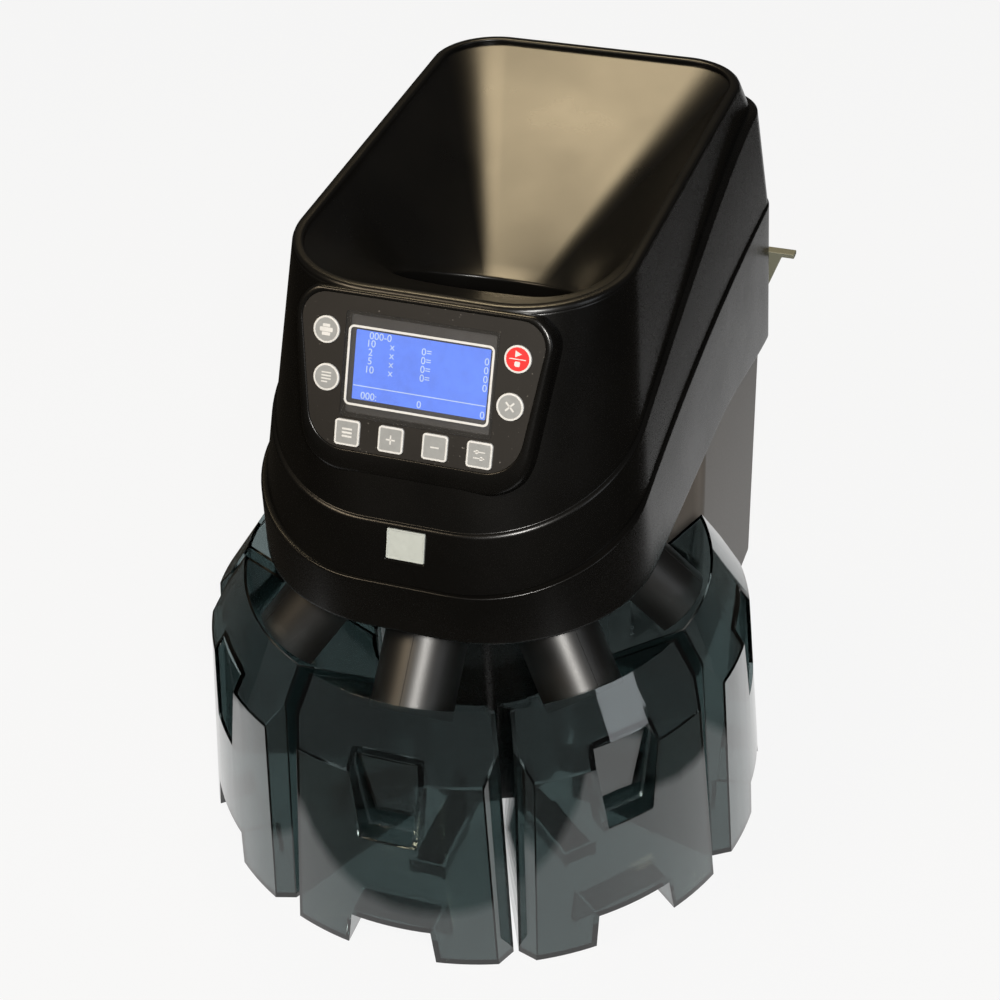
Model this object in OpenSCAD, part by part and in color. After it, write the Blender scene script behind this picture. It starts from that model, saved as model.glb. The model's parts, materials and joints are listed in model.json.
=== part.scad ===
// Table-top coin sorter: a hopper on a skirted head, five chutes and five pull-out coin boxes.
// Millimetres, +Z up, the front faces -Y. The origin is on the table, under the sorting axis.

/* [Coin boxes] */
// Angle between neighbouring coin boxes, degrees
box_pitch = 49.6; // [48.6:0.1:51]
// Angle left free on each side of a coin box, degrees
box_side_gap = 0.5; // [0.3:0.1:2]
// Radius of the box front at the table
box_r = 165; // [156:1:176]
// Radius of the box front at its crease
box_crease_r = 155; // [146:1:160]
// Radius of the box front at its rim
box_rim_r = 133; // [131:0.5:140]
// Height of the crease where the box front leans in
box_crease_z = 124.8; // [115:0.2:135]
// Height of the box rim
box_rim_z = 159.3; // [150:0.1:168]
// Radius of the curved back wall of a box
box_back_r = 62; // [58:1:70]
// Height of the back wall of a box
box_back_z = 99; // [80:1:110]
// Wall and floor thickness of a box
box_wall = 2.4; // [1.8:0.1:3]
// Clearance between a box and the table
box_lift = 0.5; // [0.3:0.1:1]
// Lean of the box sides, degrees
box_draft = 1; // [0:0.1:2]
// Half angle of the curved box front, degrees
face_angle = 21.2; // [19:0.1:22]
// Direction of the bevel between front and side, degrees
bevel_angle = 24; // [15:1:40]
// Lean of the bevel, degrees
bevel_lean = 4.3; // [0:0.1:6]

/* [Box grips] */
// Half width of the finger recess at its bottom
recess_bottom = 14.3; // [10:0.1:18]
// Half width of the finger recess at the crease
recess_middle = 19.4; // [15:0.1:24]
// Half width of the finger recess at its top
recess_top = 17.5; // [12:0.1:22]
// Height of the recess floor
recess_z0 = 82; // [70:1:95]
// How far the recess rises above the crease
recess_rise = 9.2; // [4:0.1:12]
// How far the recess back lies behind the crease
recess_depth = 8; // [5:0.1:12]
// Half width of the bottom notch at the table
notch_bottom = 26; // [18:0.1:30]
// Half width of the bottom notch at its roof
notch_top = 23.2; // [14:0.1:26]
// Height of the bottom notch
notch_z = 21.8; // [14:0.1:28]
// How far the notch runs in from the box front
notch_depth = 24; // [12:1:30]

/* [Base] */
// Half width of a box runner
runner_half_w = 8; // [6:0.5:10]
// Height of the runner top above the table
runner_z = 10.5; // [8:0.5:14]
// Radius that a runner reaches to
runner_r = 102; // [90:1:110]
// Radius of the hub that joins the runners
hub_r = 20; // [16:1:26]
// Half width of the tie between hub and column
tie_half_w = 24; // [16:1:34]
// Half width of the neck in front of the column
neck_half_w = 46; // [36:1:46]
// Radius of the neck round the sorting axis
neck_r = 48; // [46:1:50]
// Thickness of the rubber feet
foot_z = 2; // [1.5:0.1:3]
// Radius of the rubber feet
foot_r = 6; // [4:0.5:7]
// Clearance of a box on its runner
runner_gap = 0.3; // [0.2:0.05:0.5]

/* [Column] */
// Half width of the rear column
column_half_w = 105; // [90:1:105]
// Front face of the column, from the sorting axis
column_y0 = 104; // [98:1:120]
// Distance of the column rear from the rear of the head
column_setback = 10; // [8:1:31]
// Wall thickness of the column
column_wall = 3; // [2:0.2:4]
// Corner radius of the column front
column_front_r = 6; // [3:1:12]
// Corner radius of the column rear
column_rear_r = 14; // [8:1:30]
// Half width of the rear service cover
cover_half_w = 66; // [56:1:72]
// Bottom of the rear service cover
cover_z0 = 22; // [16:1:30]
// Top of the rear service cover
cover_z1 = 148; // [136:1:160]
// Thickness of the rear service cover
cover_t = 2.6; // [2:0.1:4]
// Width of the seat that carries the cover
cover_seat = 8; // [6:1:12]

/* [Head] */
// Height of the hopper rim
rim_z = 360; // [350:1:375]
// Half width of the head at the rim
rim_half_w = 91.5; // [88:0.5:94]
// Front of the head at the rim
rim_y0 = -53; // [-56:0.5:-50]
// Distance of the rim from the rear of the head
rim_setback = 20; // [16:1:24]
// Front corner radius at the rim
rim_front_r = 58; // [50:1:62]
// Rear corner radius at the rim
rim_rear_r = 37; // [30:1:46]
// Rear corner radius of band and skirt
skirt_rear_r = 22; // [18:1:30]
// Height of the upper crease at the front
crease_z = 246.5; // [243:0.5:250]
// Rise of the upper crease towards the rear
crease_rise = 90; // [76:1:96]
// Front of the head just above the upper crease
crease_y0 = -100; // [-101:0.5:-97]
// Half width of the head at the upper crease
crease_half_w = 102; // [99.5:0.1:103.2]
// Front corner radius at the upper crease
crease_front_r = 80; // [72:1:84]
// How far the band stands proud below the upper crease
band_step = 2; // [1.2:0.1:2.6]
// How far the band stands proud at the front
band_front = 0.9; // [0.5:0.1:2]
// Height of the seam between both housings at the front
seam_z = 218; // [214:1:222]
// Rise of the seam towards the rear
seam_rise = 50; // [40:1:56]
// Front of the band at the seam
seam_y0 = -109.5; // [-112:0.5:-107]
// Half width of the band at the seam
seam_half_w = 106; // [104.5:0.1:107]
// Front corner radius at the seam
seam_front_r = 85; // [78:1:90]
// How far the skirt stands proud below the seam
skirt_step = 0.9; // [0.5:0.1:1.4]
// Width of the open joint line at the seam
seam_gap = 0.5; // [0.3:0.1:0.8]
// Bottom of the skirt at the front
skirt_z = 190; // [186:1:194]
// How far the skirt hangs lower at the rear
skirt_drop = 18; // [8:1:24]
// Half width of the skirt at its bottom
skirt_half_w = 110; // [109:0.5:112]
// Front of the skirt at its bottom
skirt_y0 = -110.5; // [-113:0.5:-109]
// Front corner radius of the skirt
skirt_front_r = 90; // [82:1:96]
// Rear of the head at the skirt
skirt_y1 = 266; // [258:1:274]
// Wall thickness of both housings
shell_t = 3; // [2.4:0.1:3.4]
// Thickness of the deck that closes the head below
deck_t = 3; // [2:0.2:4]

/* [Hopper] */
// Width of the hopper lip
lip_w = 6.5; // [6:0.1:9]
// Thickness of the hopper lip
lip_t = 2.5; // [2:0.1:3.5]
// Wall thickness of the hopper
hopper_t = 2.5; // [2:0.1:3]
// Centre of the hopper throat, behind the sorting axis
throat_y = 40; // [36:1:44]
// Half width of the throat
throat_half_w = 55; // [48:1:58]
// Half length of the throat
throat_half_l = 38; // [32:1:40]
// Height of the throat edge at the front
throat_z = 332; // [326:1:336]
// Fall of the throat edge per millimetre towards the rear
throat_fall = 0.5; // [0.3:0.05:0.6]

/* [Sorting unit] */
// Radius of the carousel disc
disc_r = 85; // [83:0.5:86]
// Thickness of the carousel disc
disc_t = 4; // [3:0.2:6]
// Number of coin pockets in the carousel disc
pocket_n = 8; // [5:1:9]
// Radius of a coin pocket
pocket_r = 13; // [11:0.5:13.5]
// Radius of the circle that pockets and drop tubes lie on
drop_r = 69; // [68:0.5:70]
// Top of the sorting plate
sort_z = 259; // [256:1:262]
// Thickness of the sorting plate
sort_t = 3; // [2:0.2:4]
// Outer radius of a drop tube
tube_r = 16; // [15.4:0.1:17]
// Wall thickness of a drop tube
tube_t = 1.8; // [1.2:0.1:2.2]
// Radius of the spindle
spindle_r = 5; // [4:0.5:6]
// Running clearance of spindle and motor shaft
shaft_gap = 0.05; // [0.02:0.01:0.1]
// Outer radius of the spindle bearing
bearing_r = 9; // [8:0.5:10]
// Radius of the spindle pulley
pulley_r = 32; // [26:1:36]
// Radius of the motor pulley
motor_pulley_r = 11; // [9:1:14]
// Height of both pulleys
pulley_h = 8; // [6:0.5:8]
// Bottom of both pulleys above the deck
pulley_rise = 10; // [9.5:0.5:10.5]
// Thickness of the drive belt
belt_t = 1.6; // [1.2:0.1:2]
// Distance from the sorting axis to the motor axis
motor_y = 120; // [114:1:130]
// Radius of the drive motor
motor_r = 19; // [16:1:22]
// Height of the drive motor
motor_h = 42; // [30:1:46]
// Radius of the motor shaft
motor_shaft_r = 2.5; // [2:0.1:3]

/* [Chutes] */
// Outer radius of a chute hood
chute_r = 22.5; // [20:0.5:22.5]
// Depth of the straight part below the hood
chute_skirt = 4; // [2:0.5:5]
// Wall thickness of a chute
chute_t = 2; // [1.4:0.1:2.4]
// Slope of a chute, degrees
chute_slope = 46; // [44:1:49]
// Distance of the lower chute end from the sorting axis
chute_end_r = 112; // [104:1:114]
// Height of the lower chute end
chute_end_z = 134.5; // [131:0.5:137]

/* [Panel] */
// Lean of the key panel, degrees
panel_lean = 22.4; // [21:0.1:23.5]
// Centre of the display, from the sorting axis
panel_y = -69.6; // [-71:0.1:-69]
// Height of the display centre
panel_z = 324.1; // [322:0.1:326]
// Half width of the overlay at its top
overlay_top = 66; // [62:0.5:67]
// Half width of the overlay at its bottom
overlay_bottom = 54.5; // [52:0.5:57]
// Overlay edge above the display centre
overlay_up = 35; // [33:0.2:35.4]
// Overlay edge below the display centre
overlay_down = 43.7; // [43:0.1:46]
// Corner radius of the overlay at its top
overlay_top_r = 13; // [8:1:16]
// Corner radius of the overlay at its bottom
overlay_bottom_r = 20; // [12:1:24]
// Thickness of the overlay
overlay_t = 1.2; // [0.8:0.1:1.6]
// Width of the bezel at the sides and the bottom
bezel_w = 3.6; // [2.5:0.1:5]
// Width of the bezel at the top
bezel_top_w = 1.4; // [1:0.1:1.6]
// How far the bezel stands above the overlay
bezel_rise = 1.2; // [0.6:0.1:1.6]
// Thickness of the panel wall behind the overlay
panel_t = 2.4; // [1.8:0.1:3]
// Width of the display window
window_w = 81; // [78:0.5:84]
// Height of the display window
window_h = 54.5; // [46:0.5:55]
// Width of the light frame around the display
frame_w = 77.1; // [74:0.1:77.5]
// Height of the light frame around the display
frame_h = 41.1; // [38:0.1:43]
// Line width of the light frame
frame_line = 1.2; // [0.8:0.1:1.8]
// Width of the lit display
screen_w = 71; // [66:0.5:73]
// Height of the lit display
screen_h = 35.5; // [32:0.5:37]

/* [Keys] */
// Diameter of a round key
round_key_d = 14; // [12:0.1:15]
// Side of a square key
square_key_w = 13.5; // [11:0.1:13.8]
// Corner radius of a square key
square_key_r = 1.8; // [1:0.1:3]
// Distance of the upper round keys from the middle
key_upper_u = 50.5; // [50:0.1:52]
// Height of the upper round keys
key_upper_v = 16; // [13:0.2:20]
// Distance of the lower round keys from the middle
key_lower_u = 48.8; // [48.5:0.1:49.2]
// Height of the lower round keys
key_lower_v = -8.2; // [-9:0.1:-5]
// Distance between neighbouring square keys
key_row_pitch = 23.6; // [20:0.1:24]
// Height of the square key row
key_row_v = -35; // [-35.4:0.1:-34]
// How far a key stands above the overlay
key_rise = 0.7; // [0.4:0.1:1.2]
// Clearance around a key
key_gap = 0.3; // [0.2:0.05:0.4]
// Travel of a key
key_travel = 0.9; // [0.5:0.1:1]

/* [Fittings] */
// Width of the badge plate
badge_w = 20.6; // [16:0.1:26]
// Height of the badge plate
badge_h = 16.4; // [10:0.1:18]
// Thickness of the badge plate
badge_t = 1.2; // [0.8:0.1:1.6]
// Height of the badge centre
badge_z = 241; // [236:0.5:242]
// Radius of a screw shank
screw_r = 1.6; // [1.2:0.1:2]
// Radius of a screw head
screw_head_r = 3.2; // [2.6:0.1:4]
// Width of the power switch opening
switch_w = 13; // [11:0.5:16]
// Height of the power switch opening
switch_h = 20; // [18:0.5:24]
// Swing of the power switch to each side, degrees
switch_swing = 8; // [4:1:10]
// Height of the rear hook
hook_z = 222; // [216:1:230]
// Reach of the rear hook from the middle
hook_x = 120; // [116:1:126]

/* [Hidden] */
$fn = 64;
tiny = 0.01;
big = 600;
station = [for (k = [-2:2]) k * box_pitch];
station_n = len(station);

// Coin boxes
box_angle = box_pitch / 2 - box_side_gap;
box_z0 = box_lift;
lean_rate = (box_crease_r - box_rim_r) / (box_rim_z - box_crease_z);
recess_r = box_crease_r - recess_depth;
recess_z1 = box_crease_z + recess_rise;
notch_r = box_r - notch_depth;
clear_z = 10;

// Column and deck
rim_y1 = skirt_y1 - rim_setback;
column_y1 = skirt_y1 - column_setback;
column_z0 = foot_z;
deck_z0 = skirt_z;
deck_z1 = deck_z0 + deck_t;
cover_hole = screw_r + 0.1;
screw_head_t = 1.8;
column_foot_inset = 30;
supply_size = [90, 70, 46];
supply_y = column_y0 + 30;
board_size = [150, 1.6, 86];
board_z = 78;
board_y = column_y0 + column_wall;
standoff_r = 3;
standoff_h = 6;
standoff_inset = 8;
chip_size = [28, 3, 28];
plug_size = [24, 10, 12];

// Fittings in the service cover
service_z = cover_z0 + 34;
switch_x = -36;
inlet_x = 0;
port_x = 38;
inlet_w = 27;
inlet_h = 20;
port_w = 30;
port_h = 12;
fitting_wall = 1.4;
fitting_gap = 0.2;
fitting_depth = 16;
flange_w = 2.5;
flange_t = 1.6;
pin_size = [2, 4, 9];
pin_places = [[-7, -2], [0, 2], [7, -2]];
tongue_size = [16, 4, 9.6];
rocker_pin_r = 1.2;
rocker_pin_w = -3.2;
rocker_gap = 0.4;
rocker_slack = 1.2;
rocker_top = flange_t + 2.2;
rocker_dip = 0.6;
rocker_skirt = 3;
rocker_bottom = 7.5;
rocker_toe = 2;

// Hook
hook_t = 3;
hook_lip = 7;
hook_gusset = 28;
hook_slope = 10;
hook_toe = 8;
hook_overlap = 24;

// Head outlines: [height, half width, front, rear offset, front radius, rear radius offset, flare]
corner_steps = 10;
side_steps = 12;
end_steps = 4;
rim_flare = 0.015;
crease_flare = 0.035;
band_flare = 0.038;
seam_flare = 0.03;
skirt_flare = 0.01;
rear_bend_z = 260;
rear_power = 3;
function rear_share(z) = pow(max(0, z - rear_bend_z) / (rim_z - rear_bend_z), rear_power);
function rear_at(z) = skirt_y1 + (rim_y1 - skirt_y1) * rear_share(z);
function rear_r_at(z) = skirt_rear_r + (rim_rear_r - skirt_rear_r) * rear_share(z);
rim_row = [rim_z, rim_half_w, rim_y0, 0, rim_front_r, 0, rim_flare];
crease_row = [crease_z, crease_half_w, crease_y0, 0, crease_front_r, 0, crease_flare];
band_row = grow(crease_row, band_step)
    + [0, 0, band_step - band_front, 0, 0, 0, band_flare - crease_flare];
seam_row = [seam_z, seam_half_w + band_step / 2, seam_y0, band_step, seam_front_r, band_step, seam_flare];
skirt_top_row = grow(seam_row, skirt_step) + [0, 0, 0, 0, 0, 0, skirt_flare - seam_flare];
skirt_row = [skirt_z, skirt_half_w, skirt_y0, skirt_top_row[3], skirt_front_r, skirt_top_row[5], 0];
upper_face = [crease_row, rim_row];
band_face = [seam_row, band_row];
skirt_face = [skirt_row, skirt_top_row];
crease_power = 1.45;
seam_power = 2.4;
drop_start = 120;
tongue_out = shell_t + 0.3;
tongue_in = tongue_out + 1.6;
tongue_up = 4;
tongue_lean = 0.7;
tongue_step = 3;
tongue_root = 7;

// Hopper
lip_z0 = rim_z - lip_t;
well_z0 = sort_z + disc_t + 1.6;
hopper_steps = 6;

// Sorting unit
disc_z0 = sort_z + 0.5;
disc_z1 = disc_z0 + disc_t;
sort_r = disc_r + 2;
flange_r = 15;
flange_h = sort_t + 1;
flange_gap = 2;
sensor_size = [12, 8, 8];
sort_hole_r = [10.5, 11.5, 12.2, 13, 13.8];
pulley_z0 = deck_z1 + pulley_rise;
belt_gap = 0.3;
bearing_z0 = deck_z0 - 6;
bearing_z1 = deck_z1 + 7;
bearing_wall = 3;
bracket_t = 3;
bracket_leg = 4;
bracket_half_w = motor_r + 3;
shaft_hole_gap = 1.5;
bracket_z0 = pulley_z0 + pulley_h + 2;
motor_z0 = bracket_z0 + bracket_t;
motor_bore_h = 8;

// Panel stack, measured along the panel normal from the overlay face
overlay_w0 = -overlay_t;
panel_w0 = overlay_w0 - panel_t;
key_w0 = panel_w0 - 1.4;
mat_w1 = key_w0 - key_travel - 0.4;
mat_t = 2.6;
board_w1 = mat_w1 - mat_t;
board_t = 1.6;
plateau_w0 = -13;
round_keys = [[-key_upper_u, key_upper_v], [-key_lower_u, key_lower_v],
    [key_upper_u, key_upper_v], [key_lower_u, key_lower_v]];
square_keys = [for (k = [-1.5:1.5]) [k * key_row_pitch, key_row_v]];
window_v = 0.3;
screen_v = 0;
board_inset = 6;
board_down = 3.5;
pocket_inset = 3;
pocket_top = 4;
ledge_w = 2;
window_r = 2;
frame_t = 0.3;
frame_r = 3;
screen_t = 0.8;
screen_r = 0.5;
mat_gap = 0.5;

// Badge and chutes
badge_sink = 0.5;
badge_gap = 0.5;
badge_r = 0.6;
badge_room = 4;
chute_length = (deck_z0 - chute_end_z) / sin(chute_slope) + 2 * chute_r;
hood_steps = 40;

// Outlines and lofted shells

function grow(row, d) = row + [0, d, -d, d, d, d, 0];

function row_at(face, z) =
    let (a = face[0], b = face[1]) a + (b - a) * ((z - a[0]) / (b[0] - a[0]));

// Points along one rounded corner, then along the straight run after it
function corner(cx, cy, r, from) =
    [for (i = [0:corner_steps]) let (a = from + 90 * i / corner_steps) [cx + r * cos(a), cy + r * sin(a)]];
function run(a, b, steps) = [for (i = [1:steps - 1]) a + (b - a) * i / steps];

function flat_outline(row) =
    let (w = row[1], y0 = row[2], rf = row[4],
        y1 = rear_at(row[0]) + row[3], rb = rear_r_at(row[0]) + row[5],
        c1 = corner(w - rf, y0 + rf, rf, -90), c2 = corner(w - rb, y1 - rb, rb, 0),
        c3 = corner(rb - w, y1 - rb, rb, 90), c4 = corner(rf - w, y0 + rf, rf, 180))
    concat(c1, run(c1[corner_steps], c2[0], side_steps), c2, run(c2[corner_steps], c3[0], end_steps),
        c3, run(c3[corner_steps], c4[0], side_steps), c4, run(c4[corner_steps], c1[0], end_steps));

function outline(row) =
    let (y0 = row[2], y1 = rear_at(row[0]) + row[3])
    [for (q = flat_outline(row)) [q.x * (1 + row[6] * (q.y - y0) / (y1 - y0)), q.y]];

// A ring of points on a face, whose height follows the depth
function ring(face, d, height) =
    let (rough = outline(grow(row_at(face, height(0)), d)))
    [for (i = [0:len(rough) - 1])
        let (z = height(rough[i].y), q = outline(grow(row_at(face, z), d))[i]) [q.x, q.y, z]];

// The same along an edge line of depths and heights that is shared by both faces beside it
function settle(face, line, i, z, turns) =
    turns == 0 ? z : settle(face, line, i, lookup(outline(row_at(face, z))[i].y, line), turns - 1);
function edge_ring(face, d, line, rise = 0) =
    [for (i = [0:len(line) - 1])
        let (z = settle(face, line, i, line[i].y, 3) + rise, q = outline(grow(row_at(face, z), d))[i])
        [q.x, q.y, z]];

function flat_ring(face, d, z) = [for (q = outline(grow(row_at(face, z), d))) [q.x, q.y, z]];

// Rings between two others, spread evenly
function between(a, b, steps) =
    [for (k = [1:steps - 1]) [for (i = [0:len(a) - 1]) a[i] + (b[i] - a[i]) * k / steps]];

// A closed shell whose rings follow each other round its wall
module ring_shell(rings) {
    n = len(rings[0]);
    m = len(rings);
    faces = [for (j = [0:m - 1], i = [0:n - 1])
        let (a = j * n + i, b = j * n + (i + 1) % n, c = ((j + 1) % m) * n + (i + 1) % n,
            d = ((j + 1) % m) * n + i)
        each [[a, b, c], [a, c, d]]];
    polyhedron(points = [for (r = rings) each r], faces = faces);
}

function depth_share(y, y0, y1) = max(0, min(1, (y - y0) / (y1 - y0)));
function crease_height(y) =
    crease_z + crease_rise * (1 - pow(1 - depth_share(y, crease_y0, rim_y1), crease_power));
function seam_height(y) =
    seam_z + seam_rise * (1 - pow(1 - depth_share(y, seam_y0, skirt_y1), seam_power));
function skirt_height(y) =
    let (t = depth_share(y, drop_start, skirt_y1)) skirt_z - skirt_drop * t * t * (3 - 2 * t);
crease_line = [for (p = ring(upper_face, 0, function(y) crease_height(y))) [p.y, p.z]];
seam_line = [for (p = ring(band_face, 0, function(y) seam_height(y))) [p.y, p.z]];

// A polygon with rounded corners: points with their radii, counter-clockwise
function unit(v) = v / norm(v);
function round_poly(points, radii, steps = 8) =
    [for (i = [0:len(points) - 1])
        let (n = len(points), p = points[i], u = unit(points[(i + n - 1) % n] - p),
            v = unit(points[(i + 1) % n] - p), half = acos(u * v) / 2, r = radii[i],
            c = p + unit(u + v) * (r / sin(half)), turn = 180 - 2 * half,
            from = atan2((p + u * (r / tan(half)) - c).y, (p + u * (r / tan(half)) - c).x))
        for (k = [0:steps]) c + r * [cos(from + turn * k / steps), sin(from + turn * k / steps)]];

function round_rect(w, h, r) =
    round_poly([[-w / 2, -h / 2], [w / 2, -h / 2], [w / 2, h / 2], [-w / 2, h / 2]], [r, r, r, r]);

module slab(points, z0, z1) {
    translate([0, 0, z0]) linear_extrude(z1 - z0) polygon(points);
}

module block(x0, x1, y0, y1, z0, z1) {
    translate([x0, y0, z0]) cube([x1 - x0, y1 - y0, z1 - z0]);
}

module rod(r, z0, z1) {
    translate([0, 0, z0]) cylinder(r = r, h = z1 - z0);
}

module at_station(k) {
    rotate([0, 0, station[k]]) children();
}

module on_panel() {
    translate([0, panel_y, panel_z]) rotate([90 - panel_lean, 0, 0]) children();
}

// Coin boxes and base

module box_trim(t) {
    for (s = [0, 1]) mirror([s, 0, 0]) {
        rotate([0, 0, box_angle]) rotate([0, -box_draft, 0])
            translate([-t, -big / 2, -big / 2]) cube(big);
        rotate([0, 0, -bevel_angle]) translate([box_r * sin(face_angle + bevel_angle), 0, 0])
            rotate([0, -bevel_lean, 0]) translate([-t, -big / 2, -big / 2]) cube(big);
    }
    translate([-big / 2, -tiny, -big / 2]) cube(big);
}

module box_outer() {
    difference() {
        rotate_extrude() polygon([[box_back_r, box_z0], [box_r, box_z0], [box_crease_r, box_crease_z],
            [box_rim_r, box_rim_z], [box_back_r, box_back_z]]);
        box_trim(0);
    }
}

module box_inner() {
    t = box_wall;
    difference() {
        rotate_extrude() polygon([[box_back_r + t, box_z0 + t], [box_r - t, box_z0 + t],
            [box_crease_r - t, box_crease_z], [box_rim_r - t, box_rim_z],
            [box_rim_r - t - lean_rate * clear_z, box_rim_z + clear_z],
            [box_back_r + t, box_rim_z + clear_z]]);
        box_trim(t);
    }
}

// A prism that runs outwards between two radii, from an outline of [side, height]
module radial_prism(points, r0, r1) {
    rotate([90, 0, 0]) slab(points, r0, r1);
}

module recess_prism(t) {
    radial_prism([[-recess_bottom - t, recess_z0 - t], [recess_bottom + t, recess_z0 - t],
        [recess_middle + t, box_crease_z], [recess_top + t, recess_z1 + t],
        [-recess_top - t, recess_z1 + t], [-recess_middle - t, box_crease_z]], recess_r - t, big / 2);
}

module notch_prism(t) {
    radial_prism([[-notch_bottom - t, -tiny], [notch_bottom + t, -tiny],
        [notch_top + t, notch_z + t], [-notch_top - t, notch_z + t]], notch_r - t, big / 2);
}

module tunnel_prism(t) {
    w = runner_half_w + runner_gap + t;
    h = runner_z + runner_gap + t;
    radial_prism([[-w, -tiny], [w, -tiny], [w, h], [-w, h]], hub_r, runner_r + runner_gap + t);
}

module coin_box(k) {
    color("slategray") at_station(k) difference() {
        union() {
            difference() {
                box_outer();
                box_inner();
            }
            intersection() {
                box_outer();
                union() {
                    recess_prism(box_wall);
                    notch_prism(box_wall);
                    tunnel_prism(box_wall);
                }
            }
        }
        recess_prism(0);
        notch_prism(0);
        tunnel_prism(0);
    }
}

module base_hub() {
    color("black") {
        rod(hub_r, foot_z, runner_z);
        block(-tie_half_w, tie_half_w, 0, column_y0, foot_z, runner_z);
    }
}

module box_runners() {
    color("black") difference() {
        for (k = [0:station_n - 1]) at_station(k)
            block(-runner_half_w, runner_half_w, -runner_r, 0, foot_z, runner_z);
        rod(hub_r, 0, runner_z + 1);
        block(-tie_half_w, tie_half_w, 0, column_y0, 0, runner_z + 1);
    }
}

module neck_plan(t) {
    w = neck_half_w - t;
    union() {
        circle(neck_r - t);
        polygon([[-w, 0], [w, 0], [w, column_y0 - t], [-w, column_y0 - t]]);
    }
}

module front_neck() {
    color("black") difference() {
        translate([0, 0, runner_z]) linear_extrude(deck_z0 - runner_z) neck_plan(0);
        translate([0, 0, runner_z + column_wall]) linear_extrude(deck_z0) neck_plan(column_wall);
    }
}

module rubber_feet() {
    color("dimgray") {
        rod(foot_r, 0, foot_z);
        for (k = [0:station_n - 1]) at_station(k) translate([0, foot_r + 2 - runner_r, 0])
            rod(foot_r, 0, foot_z);
        for (s = [-1, 1], y = [column_y0 + column_foot_inset / 2, column_y1 - column_foot_inset])
            translate([s * (column_half_w - column_foot_inset), y, 0]) rod(foot_r, 0, foot_z);
    }
}

// Rear column and its service side

module column_plan(t) {
    w = column_half_w - t;
    polygon(round_poly([[-w, column_y0 + t], [w, column_y0 + t], [w, column_y1 - t], [-w, column_y1 - t]],
        [column_front_r - t / 2, column_front_r - t / 2, column_rear_r - t, column_rear_r - t]));
}

module cover_opening(inset, y0, y1) {
    block(inset - cover_half_w, cover_half_w - inset, y0, y1, cover_z0 + inset, cover_z1 - inset);
}

module cover_screw_places() {
    inset = cover_seat / 2;
    for (s = [-1, 1], z = [cover_z0 + inset, cover_z1 - inset])
        translate([s * (cover_half_w - inset), column_y1, z]) rotate([-90, 0, 0]) children();
}

module rear_column() {
    color("dimgray") difference() {
        translate([0, 0, column_z0]) linear_extrude(deck_z0 - column_z0) column_plan(0);
        translate([0, 0, column_z0 + column_wall]) linear_extrude(deck_z0) column_plan(column_wall);
        cover_opening(cover_seat, column_y1 - 2 * column_wall, column_y1 + 1);
        cover_screw_places() rod(cover_hole, -column_wall - 1, 1);
    }
}

module column_cover() {
    color("black") difference() {
        cover_opening(0, column_y1, column_y1 + cover_t);
        cover_screw_places() rod(cover_hole, -1, cover_t + 1);
        switch_place() block(-switch_w / 2, switch_w / 2, -switch_h / 2, switch_h / 2, -cover_t - 1, 1);
        inlet_place() block(-inlet_w / 2, inlet_w / 2, -inlet_h / 2, inlet_h / 2, -cover_t - 1, 1);
        port_place() block(-port_w / 2, port_w / 2, -port_h / 2, port_h / 2, -cover_t - 1, 1);
    }
}

module cover_screws() {
    color("silver") cover_screw_places() {
        rod(screw_r, -column_wall - 1, cover_t);
        rod(screw_head_r, cover_t, cover_t + screw_head_t);
    }
}

// Places on the cover's outer face, with local z pointing rearwards
module rear_place(x, z) {
    translate([x, column_y1 + cover_t, z]) rotate([-90, 0, 0]) children();
}

module switch_place() {
    rear_place(switch_x, service_z) children();
}

module inlet_place() {
    rear_place(inlet_x, service_z) children();
}

module port_place() {
    rear_place(port_x, service_z) children();
}

// An open shell with a flange that seats on the cover
module fitting_shell(w, h) {
    difference() {
        union() {
            block(-w / 2 + fitting_gap, w / 2 - fitting_gap, -h / 2 + fitting_gap, h / 2 - fitting_gap,
                -fitting_depth, flange_t);
            block(-w / 2 - flange_w, w / 2 + flange_w, -h / 2 - flange_w, h / 2 + flange_w, 0, flange_t);
        }
        block(-w / 2 + fitting_wall, w / 2 - fitting_wall, -h / 2 + fitting_wall, h / 2 - fitting_wall,
            fitting_wall - fitting_depth, flange_t + 1);
    }
}

module switch_frame() {
    color("black") switch_place() difference() {
        fitting_shell(switch_w, switch_h);
        translate([0, 0, rocker_pin_w]) rotate([0, 90, 0])
            rod(rocker_pin_r + shaft_gap, -switch_w, switch_w);
    }
}

module power_switch() {
    w = switch_w / 2 - fitting_wall - rocker_gap;
    h = switch_h / 2 - fitting_wall - rocker_slack;
    pin = switch_w / 2 - fitting_gap;
    color("firebrick") switch_place() translate([0, 0, rocker_pin_w]) rotate([switch_swing, 0, 0]) {
        translate([0, 0, -rocker_pin_w]) rotate([0, 90, 0]) slab([[-rocker_top, -h], [-rocker_dip, 0],
            [-rocker_top, h], [rocker_skirt, h - 1], [rocker_bottom, rocker_toe],
            [rocker_bottom, -rocker_toe], [rocker_skirt, 1 - h]], -w, w);
        rotate([0, 90, 0]) rod(rocker_pin_r, -pin, pin);
    }
}

module power_inlet() {
    color("black") inlet_place() {
        fitting_shell(inlet_w, inlet_h);
        for (q = pin_places)
            translate([q.x - pin_size.x / 2, q.y - pin_size.y / 2, fitting_wall - fitting_depth])
                cube(pin_size);
    }
}

module data_port() {
    color("silver") port_place() {
        fitting_shell(port_w, port_h);
        translate([-tongue_size.x / 2, -tongue_size.y / 2, fitting_wall - fitting_depth]) cube(tongue_size);
    }
}

module power_supply() {
    color("silver") translate([-supply_size.x / 2, supply_y, column_z0 + column_wall]) cube(supply_size);
}

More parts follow.
